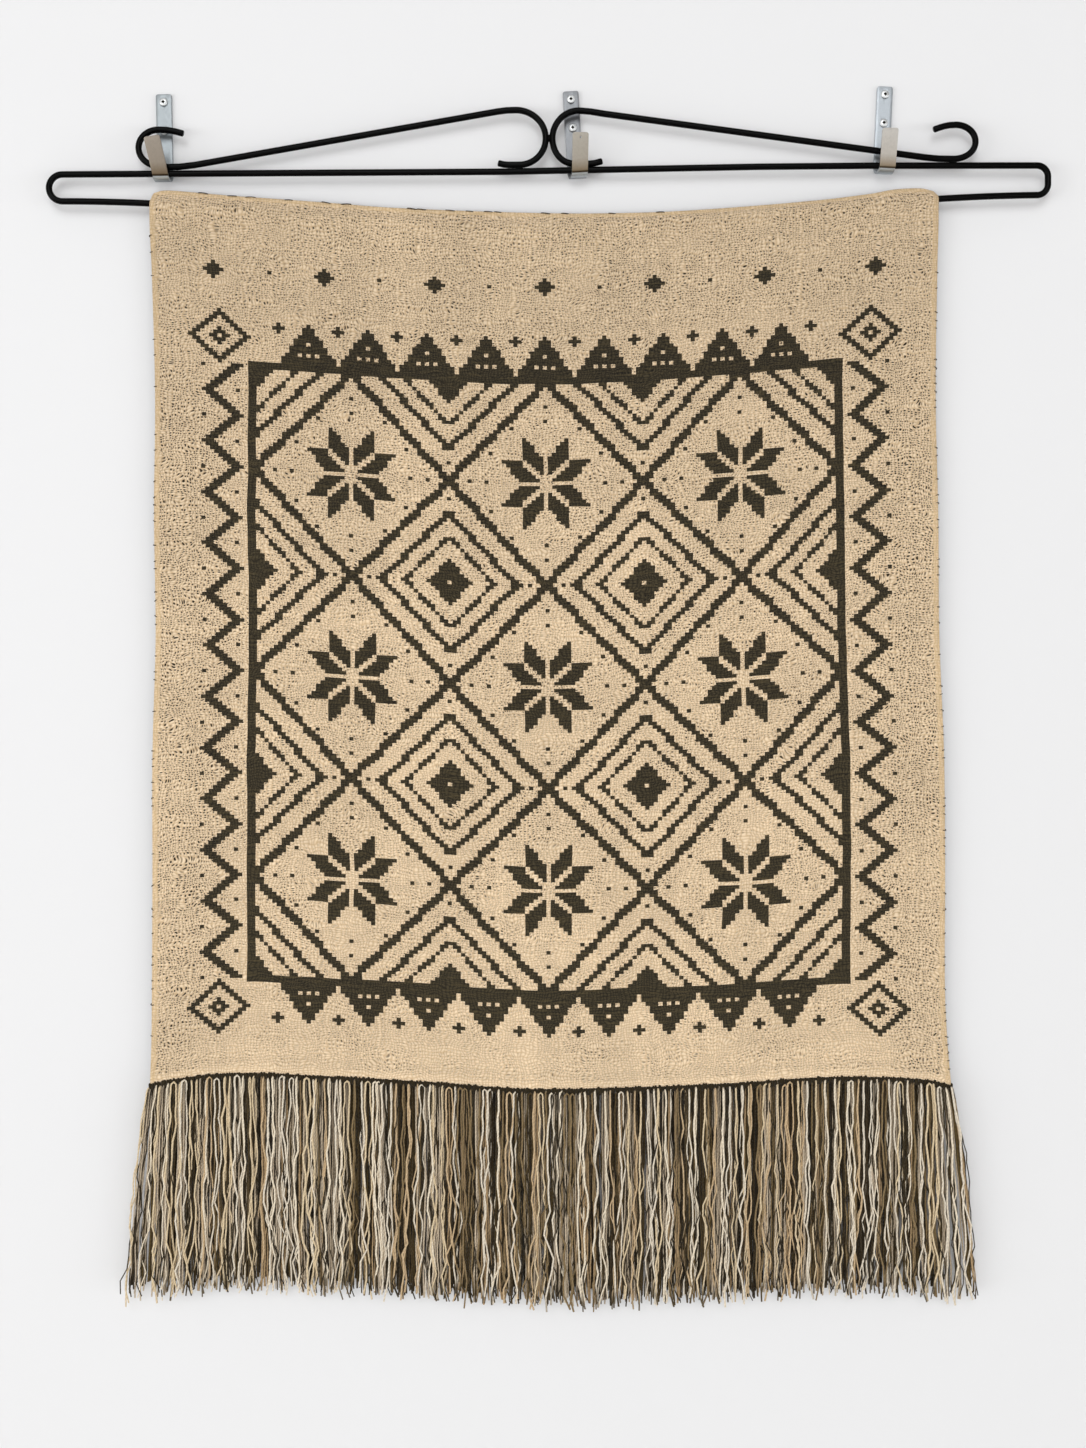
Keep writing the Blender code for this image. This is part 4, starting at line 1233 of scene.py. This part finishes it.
# %% Growing a piece from a path
def grow(name, path_points, tree, **values):
    """Runs a tree on a path of points and returns the plain mesh piece that comes out."""
    mesh = bpy.data.meshes.new(name + "_path")
    mesh.from_pydata(path_points, [(k, k + 1) for k in range(len(path_points) - 1)], [])
    holder = add_object(name + "_path", mesh)
    modifier = holder.modifiers.new("grow", "NODES")
    modifier.node_group = tree
    for item in tree.interface.items_tree:
        key = item.name.replace(" ", "_")
        if item.in_out == "INPUT" and key in values:
            modifier[item.identifier] = values[key]
    return plain(holder, name)


YARN_TWIST = 4 * MM           # length of one turn of the yarn's two plies


def wool_yarn(name, colors, tip_color, root_shade=1.0):
    """Twisted, matt wool yarn. Each strand's own number picks its colour, and whether its last centimetre is dark.
    The last argument, under one, darkens the first two centimetres: painted shade under the hem's knots."""
    made, tree, shader = new_material(name, 0.88, Specular_IOR_Level=0.2, Sheen_Weight=0.15, Sheen_Roughness=0.5)
    tone = stored(tree, "tone")
    # two plies twisted together: the groove between them runs round the strand, and the colour is painted darker in it
    # as painted shade
    around = parts_of(tree, stored(tree, "around", "Vector"))
    turn = math_node(tree, "MULTIPLY", stored(tree, "along"), 2 * math.pi / YARN_TWIST)
    first = math_node(tree, "MULTIPLY", around[0], math_node(tree, "COSINE", turn))
    ply = math_node(tree, "MULTIPLY_ADD", around[1], math_node(tree, "SINE", turn), first)
    color = scaled(tree, color_ramp(tree, tone, colors), remap(tree, ply, -1.0, 1.0, 0.86, 1.06))
    down = stored(tree, "down")
    tip = remap(tree, down, 0.92, 0.97, 0.0, 1.0)
    # a second draw from the strand's number: about a third of the strands have a dark tip
    lot = math_node(tree, "FRACT", math_node(tree, "MULTIPLY", tone, 7.3))
    tip = math_node(tree, "MULTIPLY", tip, remap(tree, lot, 0.6, 0.75, 0.0, 0.9))
    color = tint(tree, tip, color, linear(tip_color))
    # painted shade at the roots of the yarns
    color = scaled(tree, color, remap(tree, down, 0.01, 0.12, root_shade, 1.0))
    bump = add_node(tree, "ShaderNodeBump", {"Strength": 0.5, "Distance": 0.4 * MM, "Height": ply})
    set_inputs(tree, shader, {"Base Color": color, "Normal": bump})
    return made


dark_yarn = wool_yarn("dark brown wool yarn", [(0.0, "#2D2411"), (0.5, "#352A15")], "#2D2411")
print("made", dark_yarn.name)

# %% Selvedge, top and hem stitches
ALONG_PATH, ACROSS_PATH = (0.0, 0.0, 0.0), (0.0, math.pi / 2, 0.0)
STITCHED_FROM_ROW = 14                       # the selvedge stitches start below the pocket's mouth
KNOTS_BELOW_HEM, ROOTS_BELOW_HEM = 2.1 * MM, 1.6 * MM
hem_line = [points[k] for k in hem_ridge]
TOP_STITCH_FORWARD, TOP_STITCH_DOWN = 0.5 * MM, 0.7 * MM
top_line = [(x, y - TOP_STITCH_FORWARD, z - TOP_STITCH_DOWN) for x, y, z in (points[k] for k in top_ridge[2:-2])]
stitched_top = top_line[:len(top_line) * 2 // 3]
knot_line = [(x, y, z - KNOTS_BELOW_HEM) for x, y, z in hem_line]


def selvedge_line(column):
    return [tuple((Vector(points[point_at(column, r, 0)]) + Vector(points[point_at(column, r, 1)])) / 2)
            for r in range(STITCHED_FROM_ROW, ROWS, 3)]


# name, path, pitch, share kept, half length, half depth, way the loop lies, thread's radius, tilt, seed
STITCHES = (
    ("selvedge_stitches_left", selvedge_line(0), 7.5, 0.42, 1.5, 1.6, ACROSS_PATH, 0.4, 0.5, 3),
    ("selvedge_stitches_right", selvedge_line(COLUMNS), 7.5, 0.42, 1.5, 1.6, ACROSS_PATH, 0.4, 0.5, 8),
    ("top_fold_stitches", stitched_top, 9.0, 0.24, 4.4, 1.7, ALONG_PATH, 0.4, 0.12, 5),
    ("hem_knots", knot_line, 2.3, 1.0, 2.8, 1.7, ACROSS_PATH, 1.3, 0.3, 2),
)
for name, line, pitch, share_kept, half_length, half_depth, loop_turn, radius, tilt, seed in STITCHES:
    piece = grow(name, line, stitch_tree, Pitch=pitch * MM, Share_kept=share_kept, Half_length=half_length * MM,
                 Half_depth=half_depth * MM, Loop_turn=loop_turn, Thread_radius=radius * MM, Tilt=tilt, Seed=seed,
                 Material=dark_yarn)
    dress(piece, "wool_yarn")

# %% [markdown]
# ## The fringe
#
# The fringe is wool yarn, cut to length, folded in half and hung through the hem, so each yarn has two legs, and a
# third of the front ones show the small round loop at their top. Cream yarns lie in front; tan, grey and dark brown
# ones behind them, in tresses of one colour. The legs cross and stray more towards their ends, and the outermost
# ones splay outwards.
#
# One tree makes all of them. It sets an upright line on each root, with its middle as the loop's top, and moves its
# points: legs apart, slow drift that neighbours share, quicker waves of each leg's own, a pull towards the middle of
# its tress, and the splay at both ends. All of these grow from nothing at the root to their full size at the tip.

# %% The hanging yarns' tree
yarn_tree, asked, result = new_tree(
    "hanging yarns", ("Length", "Length spread", "Half width", "Yarn radius", "Tress width", "Gather", "Drift", "Wave",
                      "Tress tone", "Closed", "Left end", "Right end", "Splay"),
    Loops="Int", Seed="Int", Material="Material")
POINTS_A_YARN = 49
ROOT_KEY = 977.0             # makes a root's place into a number that differs from root to root
ROOT_STRAY = (-0.0022, -0.0012, -0.0020), (0.0022, 0.0012, 0.0006)      # metres, least and most


def calc(operation, *terms):
    return math_node(yarn_tree, operation, *terms)


def times(*factors):
    return product(yarn_tree, *factors)


path = add_node(yarn_tree, "GeometryNodeMeshToCurve", [asked["Geometry"]])
roots = add_node(yarn_tree, "GeometryNodeResampleCurve", {0: path, 2: asked["Loops"]})
step = add_node(yarn_tree, "FunctionNodeRandomValue", {0: ROOT_STRAY[0], 1: ROOT_STRAY[1], 8: asked["Seed"]},
                data_type="FLOAT_VECTOR")
roots = add_node(yarn_tree, "GeometryNodeSetPosition", {"Geometry": roots, "Offset": step.outputs[0]})
line = add_node(yarn_tree, "GeometryNodeCurvePrimitiveLine", {0: (0, 0, 0), 1: (0, 0, -1)})
line = add_node(yarn_tree, "GeometryNodeResampleCurve", {0: line, 2: POINTS_A_YARN})
placed = add_node(yarn_tree, "GeometryNodeInstanceOnPoints", {"Points": roots, "Instance": line})
yarn = add_node(yarn_tree, "GeometryNodeRealizeInstances", [placed])

share = add_node(yarn_tree, "GeometryNodeSplineParameter").outputs["Factor"]
signed = calc("MULTIPLY_ADD", share, 2.0, -1.0)
side = calc("SIGN", signed)
down = calc("POWER", calc("ABSOLUTE", signed), 1.5)
spot = parts_of(yarn_tree, add_node(yarn_tree, "GeometryNodeInputPosition"))
root_x, root_y, root_z = spot[0], spot[1], calc("ADD", spot[2], share)
print("roots, lines and their shares are in place")

# %% [markdown]
# Chance comes from white noise at the root's place, so each leg, each yarn and each tress has numbers of its own that
# stay the same along its whole length.

# %% How each leg strays
root_key = times(root_x, ROOT_KEY)
leg_key = add_node(yarn_tree, "ShaderNodeCombineXYZ", [root_key, side, asked["Seed"]])
leg_noise = add_node(yarn_tree, "ShaderNodeTexWhiteNoise", [leg_key])
chance = parts_of(yarn_tree, leg_noise.outputs["Color"])
leg = leg_noise.outputs["Value"]
yarn_noise = white_noise(yarn_tree, calc("ADD", root_key, asked["Seed"]))
yarn_chance = parts_of(yarn_tree, yarn_noise.outputs["Color"])


def wandering(x_key, y_key, detail):
    """Three smooth numbers about zero, from a noise at a place that the keys give."""
    at = add_node(yarn_tree, "ShaderNodeCombineXYZ", [x_key, y_key, times(asked["Seed"], 3.7)])
    field = noise_at(yarn_tree, at, 1.0, detail)
    return parts_of(yarn_tree, vector_math(yarn_tree, "SUBTRACT", field.outputs["Color"], (0.5, 0.5, 0.5)))


shared = wandering(times(root_x, 38.0), times(down, 1.4), 1.0)
own = wandering(times(leg, 90.0), times(down, 6.5), 2.0)
flick = wandering(times(leg, 57.0), times(down, 9.0), 1.0)
drift = times(asked["Drift"], 3.0, down)
wave = times(asked["Wave"], 3.0, calc("POWER", down, 0.5))
fan = times(asked["Wave"], 2.0, calc("POWER", down, 7.0))

tress = calc("FLOOR", calc("DIVIDE", root_x, asked["Tress width"]))
tress_noise = white_noise(yarn_tree, calc("ADD", tress, asked["Seed"]))
tress_x = times(calc("ADD", tress, 0.5), asked["Tress width"])
pull = times(calc("SUBTRACT", tress_x, root_x), asked["Gather"], down)

SPLAY_REACH = 15 * MM
past_right = calc("EXPONENT", calc("DIVIDE", calc("SUBTRACT", root_x, asked["Right end"]), SPLAY_REACH))
past_left = calc("EXPONENT", calc("DIVIDE", calc("SUBTRACT", asked["Left end"], root_x), SPLAY_REACH))
splay = times(calc("SUBTRACT", past_right, past_left), asked["Splay"], calc("POWER", down, 0.75))
opened = calc("SQRT", calc("MINIMUM", calc("DIVIDE", down, 0.012), 1.0))
# a closed yarn has one leg behind the other; the open ones show as a small arch
arch = calc("MULTIPLY_ADD", calc("GREATER_THAN", yarn_chance[0], asked["Closed"]), 0.92, 0.08)
apart = times(times(side, asked["Half width"]), times(opened, arch))
print("drift, wave, pull and splay are in place")

# %% [markdown]
# The last step adds all of that up, moves the points and gives each line a round section, with the numbers that the
# yarn's material needs stored on it.

# %% From lines to yarns
x = calc("ADD", calc("ADD", calc("ADD", root_x, apart), calc("ADD", pull, splay)),
         calc("ADD", times(shared[0], drift), times(own[0], wave)))
x = calc("ADD", x, times(flick[0], fan))
behind = times(times(side, opened), times(asked["Yarn radius"], 1.2))
in_depth = calc("ADD", times(shared[1], drift), times(own[1], wave))
y = calc("ADD", calc("ADD", root_y, behind), times(in_depth, 0.6))
stretch = calc("MULTIPLY_ADD", calc("SUBTRACT", chance[1], 0.5), asked["Length spread"], 1.0)
z = calc("SUBTRACT", root_z, times(asked["Length"], stretch, down))
target = add_node(yarn_tree, "ShaderNodeCombineXYZ", [x, y, z])
tone = add_node(yarn_tree, "ShaderNodeMix", [asked["Tress tone"], None, yarn_chance[1], tress_noise])
thickness = times(calc("MULTIPLY_ADD", chance[2], 0.5, 0.75), calc("MULTIPLY_ADD", down, -0.08, 1.0))


def store(geometry, name, value, data_type="FLOAT"):
    return add_node(yarn_tree, "GeometryNodeStoreNamedAttribute",
                    {"Geometry": geometry, "Name": name, "Value": value}, data_type=data_type, domain="POINT")


# what depends on the root's place is kept before the points move, because a field is worked out where it is used
yarn = store(store(store(yarn, "tone", tone), "down", down), "thickness", thickness)
yarn = add_node(yarn_tree, "GeometryNodeSetPosition", {"Geometry": yarn, "Position": target})
yarn = store(yarn, "along", add_node(yarn_tree, "GeometryNodeSplineParameter").outputs["Length"])
kept_thickness = add_node(yarn_tree, "GeometryNodeInputNamedAttribute", {"Name": "thickness"}, data_type="FLOAT")
section = add_node(yarn_tree, "GeometryNodeCurvePrimitiveCircle", {0: 5, 4: 1.0})
section = store(section, "around", add_node(yarn_tree, "GeometryNodeInputPosition"), "FLOAT_VECTOR")
tube = add_node(yarn_tree, "GeometryNodeCurveToMesh", {
    "Curve": yarn, "Profile Curve": section, "Scale": times(kept_thickness.outputs[0], asked["Yarn radius"]),
    "Fill Caps": True})
smooth = add_node(yarn_tree, "GeometryNodeSetShadeSmooth", [tube])
finished = add_node(yarn_tree, "GeometryNodeSetMaterial", {"Geometry": smooth, "Material": asked["Material"]})
set_inputs(yarn_tree, result, [finished])
print("yarn tree:", len(yarn_tree.nodes), "nodes")

# %% [markdown]
# Four layers of yarns hang one behind the other. Their materials are woollen yarn, undyed and dyed: cream in front,
# a few thin dark ones between those, a mix of tan, warm grey and cream in the middle, and khaki to nearly black
# behind, which is what shows as shadow between the light strands. The numbers of loops follow the real spacing: a
# light strand about every 4 mm.

# %% Fringe yarns
cream = wool_yarn("cream wool yarn", [(0.0, "#EEE0C8"), (0.24, "#DFCAA6"), (0.42, "#E6DAC6"), (0.6, "#CBB08A"),
                                       (0.76, "#877250"), (0.9, "#4E3E20")], "#403319")
mixed = wool_yarn("tan and grey wool yarn", [(0.0, "#C5B49C"), (0.17, "#B29670"), (0.35, "#4C3D22"), (0.5, "#B5A48C"),
                                              (0.62, "#826D4A"), (0.76, "#D2C0A6"), (0.87, "#3A2D16")], "#352914", 0.6)
brown = wool_yarn("khaki and brown wool yarn", [(0.0, "#352914"), (0.35, "#4C3D20"), (0.55, "#281F0E"),
                                                 (0.75, "#5E4D2C")], "#261E0C", 0.25)
ends = {"Left_end": hem_line[0][0], "Right_end": hem_line[-1][0], "Splay": 20 * MM}
# sizes in mm: name, material, loops, length, its spread, half width of a loop, yarn radius, tress width, share of the
# pull towards a tress's middle, drift, wave, share of the tress's colour, share of closed loops, y, seed
LAYERS = (
    ("fringe_front", cream, 130, 200, 0.07, 2.2, 0.86, 17, 0.20, 6.0, 8.5, 0.2, 0.66, -3.2, 35),
    ("fringe_over", dark_yarn, 90, 197, 0.06, 1.8, 0.6, 23, 0.10, 7.0, 10.0, 0.0, 0.4, -2.4, 19),
    ("fringe_middle", mixed, 230, 198, 0.05, 0.95, 0.84, 7.0, 0.26, 3.5, 2.4, 0.9, 0.0, -0.4, 38),
    ("fringe_back", brown, 230, 190, 0.05, 0.85, 1.3, 9, 0.10, 3.0, 1.8, 0.5, 0.0, 2.2, 36),
)
for name, finish, loops, length, spread, half, radius, wide, gather, drift_mm, wave_mm, shared_tone, closed, y_mm, \
        seed in LAYERS:
    line_at = [(x, y + y_mm * MM, z - ROOTS_BELOW_HEM) for x, y, z in hem_line]
    piece = grow(name, line_at, yarn_tree, Loops=loops, Length=length * MM, Length_spread=spread,
                 Half_width=half * MM, Yarn_radius=radius * MM, Tress_width=wide * MM, Gather=gather,
                 Drift=drift_mm * MM, Wave=wave_mm * MM, Tress_tone=shared_tone, Closed=closed, Seed=seed,
                 Material=finish, **ends)
    dress(piece, "wool_yarn", "fringe")

# %% [markdown]
# ## Sizes
#
# The cloth is a sheet that was woven flat, 752 mm wide and 865 mm long with its pocket, and hangs from the loop's
# lower run. The fringe and the stitches go with it.

# %% Sizes
full_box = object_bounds()
for label, corners_of in (("CAD", cad_box), ("visual", full_box)):
    print(label, [[round(c * 1000, 1) for c in corner] for corner in corners_of])
